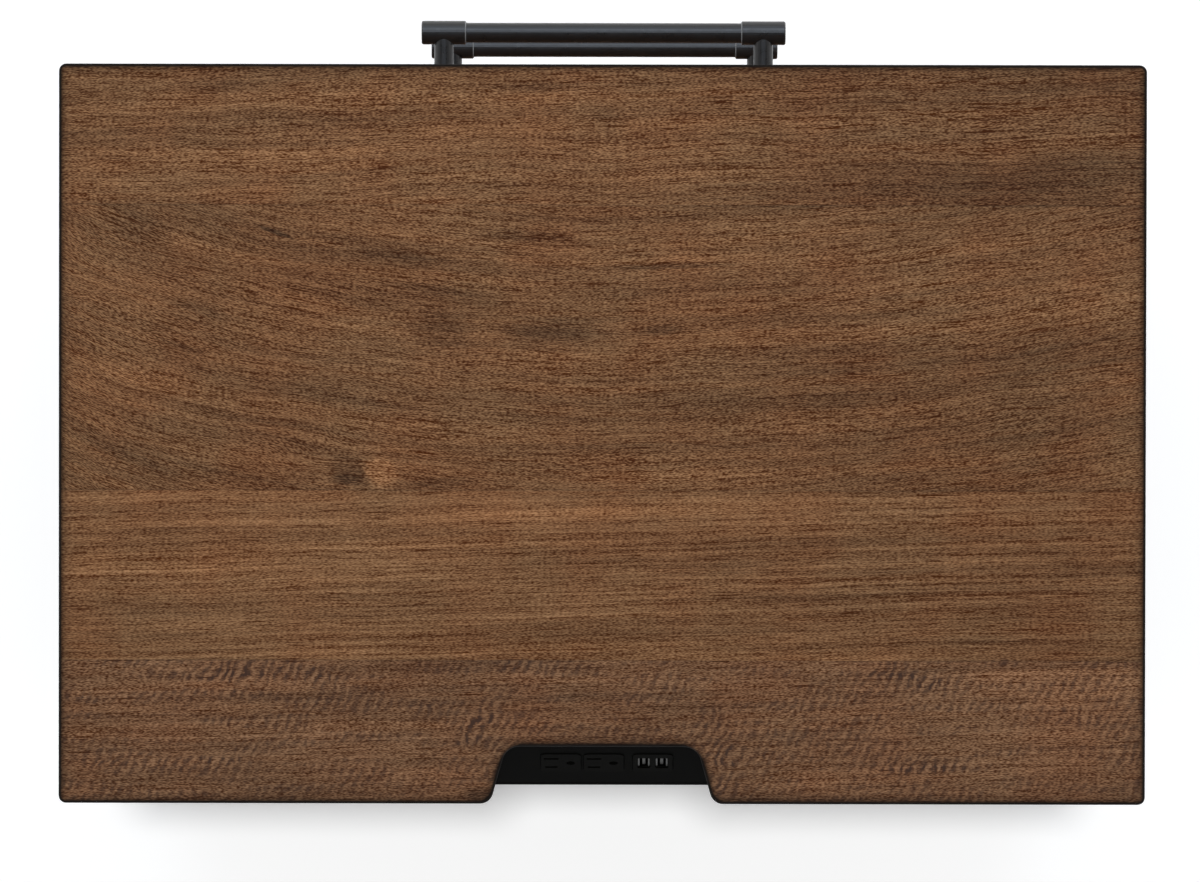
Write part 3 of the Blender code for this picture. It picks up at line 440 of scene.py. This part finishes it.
ripple = add(tree, "Math", dark_stroke, ripple_rows, operation="MULTIPLY")
ripple_painted_sheen = add(tree, "Math", painted_sheen_stroke, ripple_rows, operation="MULTIPLY")
print("spots drawn:", len(TONE_SPOTS), "and ripple rows:", len(RIPPLE_SPOTS))


# %% Distance to the outline of the top
def corner_reach(tree, a, b):
    """Length of the vector (a, b), with a negative part taken as nothing."""
    both = add(tree, "VectorMath", add(tree, "CombineXYZ", a, b, 0.0), (0.0, 0.0, 0.0), operation="MAXIMUM")
    return add(tree, "VectorMath", both, operation="LENGTH").outputs["Value"]


def in_corner(tree, a, b, radius):
    """How deep a point lies in a rounded corner whose two sides are a and b away."""
    short = [add(tree, "Math", radius, side, operation="SUBTRACT") for side in (a, b)]
    nearest = add(tree, "Math", a, b, operation="MINIMUM")
    nearest = add(tree, "Math", nearest, radius, operation="MAXIMUM")
    return add(tree, "Math", nearest, corner_reach(tree, *short), operation="SUBTRACT")


from_side = add(tree, "Math", point.outputs["X"], operation="ABSOLUTE")
to_side = add(tree, "Math", TOP_HALF, from_side, operation="SUBTRACT")
to_back = add(tree, "Math", TOP_DEPTH, down, operation="SUBTRACT")
NOTCH_LEAN = (NOTCH_HALF_BACK - NOTCH_HALF_FRONT) / NOTCH_DEPTH
notch_side = add(tree, "Math", to_back, NOTCH_LEAN, from_side, operation="MULTIPLY_ADD")
notch_side = add(tree, "Math", notch_side, NOTCH_HALF_BACK, operation="SUBTRACT")
notch_front = add(tree, "Math", to_back, NOTCH_DEPTH, operation="SUBTRACT")
grown = [add(tree, "Math", way_out, NOTCH_CORNER, operation="ADD") for way_out in (notch_side, notch_front)]
to_notch = add(tree, "Math", corner_reach(tree, *grown), NOTCH_CORNER, operation="SUBTRACT")
to_lip = in_corner(tree, to_back, to_notch, LIP_CORNER)
to_end = add(tree, "Math", down, to_back, operation="MINIMUM")
edge = add(tree, "Math", in_corner(tree, to_side, to_end, TOP_CORNER), to_lip, operation="MINIMUM")
edge = add(tree, "Math", edge, RIM_BLACK, operation="MAXIMUM")
rim = add(tree, "Math", edge, -1 / RIM_FADE, RIM_BLACK / RIM_FADE, operation="MULTIPLY_ADD")
rim = add(tree, "Math", rim, operation="EXPONENT")

# %% Colour of the top
SPOT_DEPTH = 1.6
BACK_TINT = (0.99, 0.99, 1.08, 1.0)
JOINT_LINE = 0.5 * MM
BLOTCH_CELL = 55 * MM

joint_lines = 1.0
for joint in BOARD_JOINTS:
    off = add(tree, "Math", down, joint, operation="SUBTRACT")
    off = add(tree, "Math", off, operation="ABSOLUTE")
    joint_lines = add(tree, "Math", off, joint_lines, operation="MINIMUM")
joint_lines = add(tree, "MapRange", joint_lines, JOINT_LINE / 2, 2 * JOINT_LINE, 1.0, 0.0)
steps = [(past[i], SPOT_DEPTH * (BOARD_TONES[i + 1] - BOARD_TONES[i]), 0.0) for i in range(len(past))]
broad_terms = [
    (layers["tone"], 0.8, 0.5),
    (layers["bands"], 1.0, 0.5),
    (tone_spots, SPOT_DEPTH, 0.0),
    (joint_lines, -0.2, 0.0),
]
broad = weighted_sum(tree, 0.5 + SPOT_DEPTH * BOARD_TONES[0], broad_terms + steps)
calm = weighted_sum(tree, 1.0, [(past[1], -0.55, 0.0), (past[2], 0.6, 0.0)])
grit = add(tree, "Math", layers["grit"], 0.5, operation="SUBTRACT")
grit = add(tree, "Math", grit, calm, operation="MULTIPLY")
straight = weighted_sum(tree, 1.0, [(past[1], 1.2, 0.0), (past[2], -1.0, 0.0)])
threads = add(tree, "Math", layers["threads"], 0.5, operation="SUBTRACT")
threads = add(tree, "Math", threads, straight, operation="MULTIPLY")
streaked = add(tree, "Math", tone_spots, 0.0, operation="MINIMUM")
pores = weighted_sum(tree, -0.32, [(past[1], 0.16, 0.0), (streaked, 2.4, 0.0)])
pores = add(tree, "Math", layers["pores"], pores, operation="MULTIPLY")
fine_terms = [
    (threads, 0.6, 0.0),
    (layers["lines"], 0.6, 0.5),
    (layers["fibres"], 0.7, 0.5),
    (grit, 0.85, 0.0),
    (layers["fine"], 1.7, 0.5),
    (pores, 1.0, -0.042),
    (layers["strokes"], -0.5, 0.03),
    # painted sheen of the ripple strokes lightens the tone here
    (ripple_painted_sheen, 0.22, 0.0),
]
quiet = weighted_sum(tree, 1.0, [(past[1], -0.2, 0.0), (past[2], 0.2, 0.0)])
tone = add(tree, "Math", weighted_sum(tree, 0.0, fine_terms), quiet, STAIN_MIDDLE, operation="MULTIPLY_ADD")
stain = add(tree, "Mix", tone, linear("#3e1b00"), linear("#9a7553"), data_type="RGBA", clamp_factor=True)
stain = shaded(tree, stain, broad)
ripple = add(tree, "Math", ripple, RIPPLE_DEPTH, operation="MULTIPLY", use_clamp=True)
stain = add(tree, "Mix", past[2], stain, BACK_TINT, data_type="RGBA", blend_type="MULTIPLY")
stain = add(tree, "Mix", ripple, stain.outputs[2], linear("#3d2b22"), data_type="RGBA")
blotch = add(tree, "TexNoise", flat_place, 1 / BLOTCH_CELL, 2.0, 0.5)
warmth = add(tree, "MapRange", blotch, 0.4, 0.7, 0.0, 0.2)
warm = add(tree, "Mix", warmth, stain, linear("#c08560"), data_type="RGBA", blend_type="SOFT_LIGHT")
black_rim = add(tree, "Mix", rim, warm, linear("#120d09"), data_type="RGBA")
tree.links.new(black_rim.outputs[2], shader.inputs["Base Color"])
sheen = weighted_sum(tree, 0.48, [(layers["pores"], 0.18, 0.0), (rim, 0.35, 0.0)])
tree.links.new(sheen.outputs[0], shader.inputs["Roughness"])
height = weighted_sum(tree, 0.0, [(layers["pores"], -1.0, 0.0), (layers["fibres"], 0.4, 0.5)])
relief = add(tree, "Bump", 0.25, 0.15 * MM, 1.0, height)
tree.links.new(relief.outputs[0], shader.inputs["Normal"])
dress(wood, "top_panel")
print("nodes in the top's finish:", len(tree.nodes))

# %% [markdown]
# ## Drawer fronts
# The fronts are boards of the same wood with the grain across the drawer and black edges.
# A rim on a plain board needs no outline: of a point's three distances to the sides of its
# box, the smallest is about nothing on any face, and the middle one is the way to the
# nearest edge.

# %% Wood for boards
BROAD = ("tone", "bands")
PLANK_STEP = (0.37, 0.53, 0.11)
BOARD_WANDER = (140 * MM, 45 * MM, 1.0)
BOARD_SWAY = 14 * MM
EDGE_WEAR = 2.0 * MM
PORE_MIDDLE = 0.13


def board_place(tree, axes, seed):
    """Metres along, across and into the grain, which runs along axes[0]; the seed picks another plank."""
    point = add(tree, "SeparateXYZ", add(tree, "TexCoord").outputs["Object"])
    place = add(tree, "CombineXYZ", *[point.outputs[axis] for axis in axes])
    offset = tuple(step * seed for step in PLANK_STEP)
    return add(tree, "VectorMath", place, offset, operation="ADD")


def edge_distance(tree, name):
    """The middle one of the distances to the three pairs of sides of a piece's box."""
    low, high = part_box(name)
    centre, half = (low + high) / 2, (high - low) / 2
    where = add(tree, "TexCoord").outputs["Object"]
    point = add(tree, "VectorMath", where, tuple(centre), operation="SUBTRACT")
    point = add(tree, "VectorMath", point, operation="ABSOLUTE")
    point = add(tree, "SeparateXYZ", add(tree, "VectorMath", tuple(half), point, operation="SUBTRACT"))
    x, y, z = (point.outputs[axis] for axis in "XYZ")
    small = add(tree, "Math", x, y, operation="MINIMUM")
    large = add(tree, "Math", x, y, operation="MAXIMUM")
    return add(tree, "Math", small, add(tree, "Math", large, z, operation="MINIMUM"), operation="MAXIMUM")


def board_finish(label, name, axes, seed, weights, middle, stains, edge_stain, edge_widths, gloss):
    """Wood for one board: weighted grain between two stains, another stain along its edges."""
    material, tree, shader = new_finish(label, Specular_IOR_Level=gloss[0])
    place = board_place(tree, axes, seed)
    wander = stretched_noise(tree, place, *BOARD_WANDER)
    shift = add(tree, "CombineXYZ", 0.0, wander, 0.0)
    place = add(tree, "VectorMath", shift, (0.0, BOARD_SWAY, 0.0), place, operation="MULTIPLY_ADD")
    layers = grain_layers(tree, place)
    fine = {layer: weight for layer, weight in weights.items() if layer not in BROAD}
    middles = {"pores": PORE_MIDDLE}
    terms = [(layers[layer], weight, middles.get(layer, 0.5)) for layer, weight in fine.items()]
    tone = weighted_sum(tree, middle, terms)
    stain = add(tree, "Mix", tone, linear(stains[0]), linear(stains[1]), data_type="RGBA", clamp_factor=True)
    broad = weighted_sum(tree, 0.5, [(layers[layer], weights[layer], 0.5) for layer in BROAD])
    stain = shaded(tree, stain, broad)
    edge = edge_distance(tree, name)
    worn = add(tree, "Math", layers["fibres"], EDGE_WEAR, edge, operation="MULTIPLY_ADD")
    rim = smooth(tree, worn, *edge_widths, 1.0, 0.0)
    colour = add(tree, "Mix", rim, stain, linear(edge_stain), data_type="RGBA")
    tree.links.new(colour.outputs[2], shader.inputs["Base Color"])
    sheen = weighted_sum(tree, gloss[1], [(layers["pores"], 0.15, 0.0), (layers["fibres"], 0.15, 0.5)])
    tree.links.new(sheen.outputs[0], shader.inputs["Roughness"])
    height = weighted_sum(tree, 0.0, [(layers["pores"], -1.0, 0.0), (layers["fibres"], 0.4, 0.5)])
    relief = add(tree, "Bump", 0.3, 0.2 * MM, 1.0, height)
    tree.links.new(relief.outputs[0], shader.inputs["Normal"])
    dress(material, name)
    return material


STAINED = {"tone": 0.8, "bands": 1.0, "threads": 0.6, "lines": 0.75, "fibres": 0.75}
STAINED |= {"grit": 1.2, "fine": 1.3, "pores": -0.2}
FRONT_LOOK = {
    "weights": STAINED,
    "middle": STAIN_MIDDLE,
    "stains": ("#3e1b00", "#98724f"),
    "edge_stain": "#120d09",
    "edge_widths": (1.6 * MM, 6.5 * MM),
    "gloss": (0.25, 0.48),
}
fronts = ("upper_drawer_front", "lower_drawer_front")
for seed, name in enumerate(fronts, start=3):
    label = "stained hardwood, wiped and lacquered, " + name
    board_finish(label, name, "XZY", seed, **FRONT_LOOK)
print("fronts dressed:", len(fronts))

# %% [markdown]
# ## Case and legs
# The case is the colour of the blackened edges: wood stained black under a satin lacquer.
# Black stain doesn't hide the grain, because pores stay open and a little duller, and
# handling wears the sharp edges back to dark brown. Grain runs up the sides and legs and
# along the rails.

# %% Black-stained wood
BLACK_STAINED = {"tone": 0.4, "bands": 0.5, "lines": 0.8, "fibres": 0.9, "grit": 0.8, "pores": -0.5}
CASE_LOOK = {
    "weights": BLACK_STAINED,
    "middle": 0.5,
    "stains": ("#17130f", "#2e2823"),
    "edge_stain": "#3a2e25",
    "edge_widths": (0.9 * MM, 2.6 * MM),
    "gloss": (0.4, 0.42),
}
BACK_LOOK = {
    "weights": BLACK_STAINED,
    "middle": 0.5,
    "stains": ("#1b1713", "#352d26"),
    "edge_stain": "#2b221b",
    "edge_widths": (0.9 * MM, 2.4 * MM),
    "gloss": (0.25, 0.6),
}
BACK_SEED = 31
case_grain = {"side_panel_left": "ZYX", "side_panel_right": "ZYX", "bottom_panel": "XYZ"}
case_grain |= {"top_rail": "XYZ", "middle_rail": "XYZ", "top_cleat_left": "YXZ", "top_cleat_right": "YXZ"}
case_grain |= {name: "ZXY" for name in nodes if name.startswith("leg_")}
for seed, (name, axes) in enumerate(case_grain.items(), start=7):
    label = "black-stained hardwood, satin, " + name
    board_finish(label, name, axes, seed, **CASE_LOOK)
board_finish("black-stained plywood back", "back_panel", "XZY", BACK_SEED, **BACK_LOOK)
print("case boards dressed:", len(case_grain) + 1)

# %% [markdown]
# ## Drawer boxes
# Inside, a drawer is plain pale hardwood under a thin matt lacquer, with a plywood bottom.
# The same grain is used, with weaker pores, and the cut edges stay as pale as the rest.

# %% Pale drawer wood
PALE = {"tone": 0.25, "bands": 0.4, "lines": 0.6, "fibres": 0.7, "grit": 0.5, "pores": -0.18}
BOX_LOOK = {
    "weights": PALE,
    "middle": 0.5,
    "stains": ("#a97d52", "#d6ad7c"),
    "edge_stain": "#c69c6c",
    "edge_widths": (0.6 * MM, 2.0 * MM),
    "gloss": (0.3, 0.55),
}
box_grain = {"box_front": "XZY", "back": "XZY", "side_left": "YZX", "side_right": "YZX", "bottom": "XYZ"}
for level, first in (("upper", 40), ("lower", 50)):
    for seed, (part, axes) in enumerate(box_grain.items(), start=first):
        name = level + "_drawer_" + part
        label = "pale lacquered hardwood, " + name
        board_finish(label, name, axes, seed, **BOX_LOOK)
print("drawer boards dressed:", 2 * len(box_grain))

# %% [markdown]
# ## Metal
# The pulls are steel with a satin black coating, slightly uneven where it was sprayed, so
# the long highlight breaks up a little. The slides and the screws of the drawers are bright
# zinc plating over rolled steel, which shows faint streaks along the rolling and a crystal
# mottle. The shells of the two ports are nickel, their colour darkened as a painted
# reflection of the dark surroundings they face.

# %% Black coating, zinc and nickel
WEAR_AND_GLINT_RIM = 0.8 * MM
COAT_MOTTLE = 6 * MM
COAT_GRAINS = 1.2 * MM
ZINC_STREAKS_PER_METRE = (700.0, 25.0, 700.0)
ZINC_MOTTLE = 9 * MM
NICKEL_MOTTLE = 2 * MM


def black_coating(label, names, glint_ring_at=None):
    """Sprayed satin black, mottled in colour and gloss. In a ring where |x| nears the given end it turns pale
    grey: partly rubbed bare steel, partly a painted highlight.
    """
    material, tree, shader = new_finish(label, Specular_IOR_Level=0.6)
    where = add(tree, "TexCoord").outputs["Object"]
    mottle = add(tree, "TexNoise", where, 1 / COAT_MOTTLE, 3.0, 0.6)
    grains = add(tree, "TexNoise", where, 1 / COAT_GRAINS, 1.0, 0.5)
    colour = add(tree, "Mix", mottle, linear("#0d0d0d"), linear("#1b1c1e"), data_type="RGBA")
    # Pale ring at the tee's inner end: partly rubbed bare steel, partly a painted highlight of its chamfer.
    if glint_ring_at:
        reach = add(tree, "Math", add(tree, "SeparateXYZ", where), operation="ABSOLUTE")
        worn = add(tree, "MapRange", reach, glint_ring_at + WEAR_AND_GLINT_RIM, glint_ring_at + WEAR_AND_GLINT_RIM / 2, 0.0, 0.8)
        colour = add(tree, "Mix", worn, colour, linear("#85888b"), data_type="RGBA")
    tree.links.new(colour.outputs[2], shader.inputs["Base Color"])
    rough = weighted_sum(tree, 0.33, [(mottle, 0.3, 0.5), (grains, 0.15, 0.5)])
    tree.links.new(rough.outputs[0], shader.inputs["Roughness"])
    relief = add(tree, "Bump", 0.2, 0.1 * MM, 1.0, grains)
    tree.links.new(relief.outputs[0], shader.inputs["Normal"])
    dress(material, *names)
    return material


tee_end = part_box("upper_pull_tee_right")[0].x
black_coat = black_coating("satin black coated steel bar", [name for name in nodes if "_pull_bar" in name])
black_coating("satin black coated steel fitting", [name for name in nodes if "_pull_tee" in name], tee_end)

zinc, tree, shader = new_finish("bright zinc plated steel", Metallic=1.0)
where = add(tree, "TexCoord").outputs["Object"]
rolled = add(tree, "VectorMath", where, ZINC_STREAKS_PER_METRE, operation="MULTIPLY")
streaks = add(tree, "TexNoise", rolled, 1.0, 2.0, 0.6)
mottle = add(tree, "TexNoise", where, 1 / ZINC_MOTTLE, 2.0, 0.5)
colour = add(tree, "Mix", mottle, linear("#a9adb2"), linear("#d9dcdf"), data_type="RGBA")
tree.links.new(colour.outputs[2], shader.inputs["Base Color"])
rough = weighted_sum(tree, 0.32, [(streaks, 0.25, 0.5), (mottle, 0.2, 0.5)])
tree.links.new(rough.outputs[0], shader.inputs["Roughness"])
dress(zinc, *[name for name in nodes if "_slide_" in name or "_pull_screw" in name])

nickel, tree, shader = new_finish("nickel port shell, darkened as painted reflection", Metallic=1.0)
where = add(tree, "TexCoord").outputs["Object"]
mottle = add(tree, "TexNoise", where, 1 / NICKEL_MOTTLE, 2.0, 0.5)
# Dark base colour on the nickel: painted reflection of dark surroundings, not the metal's own colour.
colour = add(tree, "Mix", mottle, linear("#151514"), linear("#383735"), data_type="RGBA")
tree.links.new(colour.outputs[2], shader.inputs["Base Color"])
rough = weighted_sum(tree, 0.34, [(mottle, 0.2, 0.5)])
tree.links.new(rough.outputs[0], shader.inputs["Roughness"])
dress(nickel, "usb_port_1", "usb_port_2")
print("metal finishes:", black_coat.name, "/", zinc.name, "/", nickel.name)

# %% [markdown]
# ## Plastic
# The power unit is moulded in black, its housing with the fine spark texture that hides
# fingerprints and its inserts smooth. The glides under the legs are a harder plain plastic.


# %% Moulded plastics
def moulded(label, names, dark, light, rough, specular, grain_size, depth):
    """Black plastic: a fine bumpy mould texture, its colour and gloss uneven with it."""
    material, tree, shader = new_finish(label, Specular_IOR_Level=specular)
    where = add(tree, "TexCoord").outputs["Object"]
    texture = add(tree, "TexNoise", where, 1 / grain_size, 2.0, 0.6)
    colour = add(tree, "Mix", texture, linear(dark), linear(light), data_type="RGBA")
    tree.links.new(colour.outputs[2], shader.inputs["Base Color"])
    gloss = weighted_sum(tree, rough, [(texture, 0.2, 0.5)])
    tree.links.new(gloss.outputs[0], shader.inputs["Roughness"])
    relief = add(tree, "Bump", 0.4, depth, 1.0, texture)
    tree.links.new(relief.outputs[0], shader.inputs["Normal"])
    dress(material, *names)
    return material


textured_pieces = ["power_housing", "power_faceplate", "cord_grommet"]
smooth_pieces = ["outlet_1", "outlet_2", "usb_insert", "cord_gland"]
glides = [name for name in nodes if name.startswith("glide_")]
moulded(
    "spark-textured black ABS", textured_pieces, dark="#050504", light="#0b0b0a",
    rough=0.75, specular=0.015, grain_size=0.9 * MM, depth=0.08 * MM,
)
moulded(
    "smooth black ABS insert", smooth_pieces, dark="#060605", light="#0c0c0a",
    rough=0.7, specular=0.015, grain_size=1.5 * MM, depth=0.02 * MM,
)
moulded(
    "black polypropylene glide", glides, dark="#16140f", light="#262320",
    rough=0.5, specular=0.4, grain_size=1.0 * MM, depth=0.05 * MM,
)
print("plastic pieces:", len(textured_pieces + smooth_pieces + glides))

# %% [markdown]
# ## Screws
# The back is screwed on all round, and each slide is held by three screws a side: pan heads
# on the drawer's member, and heads sunk flush in the case's member, where the next member
# passes over them with less than half a millimetre to spare. A head is a low dome with a
# cross pressed into it. It could be turned and cut with a boolean, but as a height over a disc
# the cross is one subtraction, and each copy is turned a little further, as no two screws stop alike.

# %% Screw heads
WELD = 1e-6
GOLDEN_ANGLE = math.radians(137.5)
SHARP_ANGLE = math.radians(40)
HEAD_RIM = 0.3
CROSS_DEPTH = 0.6
CROSS_REACH = 0.62
CROSS_HALF = 1 / 6
CROSS_SLOPE = 12


def head_surface(radius, height, rows=12, columns=32):
    """A disc of height 0.3 + 0.7 (1 - (r / radius)^4) of the head, less a cross, closed flat below.

    The cross is deepest in the middle: within a sixth of the radius of either axis it drops
    by 0.6 (1 - r / (0.62 radius)) of the height, softened over a twelfth of the radius.
    """
    share = np.linspace(0, 1, rows)[:, None]
    angle = np.linspace(0, 2 * np.pi, columns, endpoint=False)[None, :]
    x, y = share * np.cos(angle), share * np.sin(angle)
    near = np.minimum(np.abs(x), np.abs(y))
    slot = np.clip((CROSS_HALF - near) * CROSS_SLOPE + 0.5, 0, 1) * np.clip(1 - share / CROSS_REACH, 0, 1)
    z = height * (HEAD_RIM + (1 - HEAD_RIM) * (1 - share**4) - CROSS_DEPTH * slot)
    top = np.stack([radius * x, radius * y, z], axis=-1)
    below = np.stack([top[-1] * (1, 1, 0), top[-1] * 0], axis=0)
    return np.concatenate([top, below])


def screws(name, body, places, ways, radius, height, finish, slot):
    """One mesh of heads on the places, their domes along the ways, each turned by the golden angle."""
    grid = head_surface(radius, height)
    rows, columns = grid.shape[:2]
    places, ways = np.array(places), np.array(ways, dtype=float)
    turns = np.arange(len(places)) * GOLDEN_ANGLE
    side = np.cross((0, 0, 1), ways)
    rise = np.cross(ways, side)
    across = side * np.cos(turns)[:, None] + rise * np.sin(turns)[:, None]
    upward = np.cross(ways, across)
    axes = np.stack([across, upward, ways], axis=1)
    points = grid.reshape(-1, 3) @ axes + places[:, None, :]
    row, column = np.mgrid[0 : rows - 1, 0:columns]
    beside = (column + 1) % columns
    quads = np.stack([row * columns + column, (row + 1) * columns + column,
                      (row + 1) * columns + beside, row * columns + beside], axis=-1)
    starts = np.arange(len(places))[:, None, None] * rows * columns
    faces = (quads.reshape(1, -1, 4) + starts).reshape(-1, 4)
    mesh = bpy.data.meshes.new(name)
    mesh.from_pydata(points.reshape(-1, 3).tolist(), [], faces.tolist())
    welded = bmesh.new()
    welded.from_mesh(mesh)
    bmesh.ops.remove_doubles(welded, verts=welded.verts, dist=WELD)
    welded.to_mesh(mesh)
    welded.free()
    mesh.shade_smooth()
    mesh.set_sharp_from_angle(angle=SHARP_ANGLE)
    mesh.materials.append(finish)
    piece = bpy.data.objects.new(name, mesh)
    scene.collection.objects.link(piece)
    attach(piece, body)
    return piece


# %% Screws in the back and in the slides
BACK_HEAD = (3.8 * MM, 1.9 * MM)
SLIDE_HEAD = (3.6 * MM, 1.8 * MM)
FLUSH_HEAD = (2.0 * MM, 0.9 * MM)
SLIDE_WALL = 1.2 * MM
SLIDE_HOLES = (35 * MM, 150 * MM, 265 * MM)
BACK_INSET = 4.7 * MM
BACK_END = 45 * MM
BACK_FOOT = 10 * MM
FOOT_SPREAD = 200 * MM
EAR_HALF = 7 * MM
EAR_SHARES = np.array((0.3, 0.7))

back_low, back_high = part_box("back_panel")
heights = np.linspace(back_low.z + BACK_END, back_high.z - BACK_END, 4)
back_sides = (back_low.x + BACK_INSET, back_high.x - BACK_INSET)
back_places = [(x, back_high.y, z) for x in back_sides for z in heights]
back_places += [(x, back_high.y, back_low.z + BACK_FOOT) for x in np.linspace(-FOOT_SPREAD, FOOT_SPREAD, 3)]
unit_low, unit_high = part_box("power_housing")
ear_heights = unit_low.z + (unit_high.z - unit_low.z) * EAR_SHARES
back_places += [(sign * (unit_high.x - EAR_HALF), back_high.y, z) for sign in (-1, 1) for z in ear_heights]
back_ways = [(0, 1, 0)] * len(back_places)
screws("back_screws", "case", back_places, back_ways, *BACK_HEAD, black_coat, "black_metal")

flush_places, flush_ways = [], []
for level in ("upper", "lower"):
    pan_places, pan_ways = [], []
    for side, sign in (("left", -1), ("right", 1)):
        low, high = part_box(level + "_slide_drawer_" + side)
        inner = min(abs(low.x), abs(high.x)) + SLIDE_WALL
        middle = (low.z + high.z) / 2
        pan_places += [(sign * inner, low.y + hole, middle) for hole in SLIDE_HOLES]
        pan_ways += [(sign, 0, 0)] * len(SLIDE_HOLES)
        low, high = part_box(level + "_slide_case_" + side)
        outer = max(abs(low.x), abs(high.x))
        flush_places += [(sign * outer, low.y + hole, middle) for hole in SLIDE_HOLES]
        flush_ways += [(-sign, 0, 0)] * len(SLIDE_HOLES)
    screws(level + "_slide_screws", level + "_drawer", pan_places, pan_ways, *SLIDE_HEAD, zinc, "zinc_steel")
screws("case_slide_screws", "case", flush_places, flush_ways, *FLUSH_HEAD, zinc, "zinc_steel")
print("screws:", len(back_places), "in the back,", 2 * len(flush_places), "in the slides")
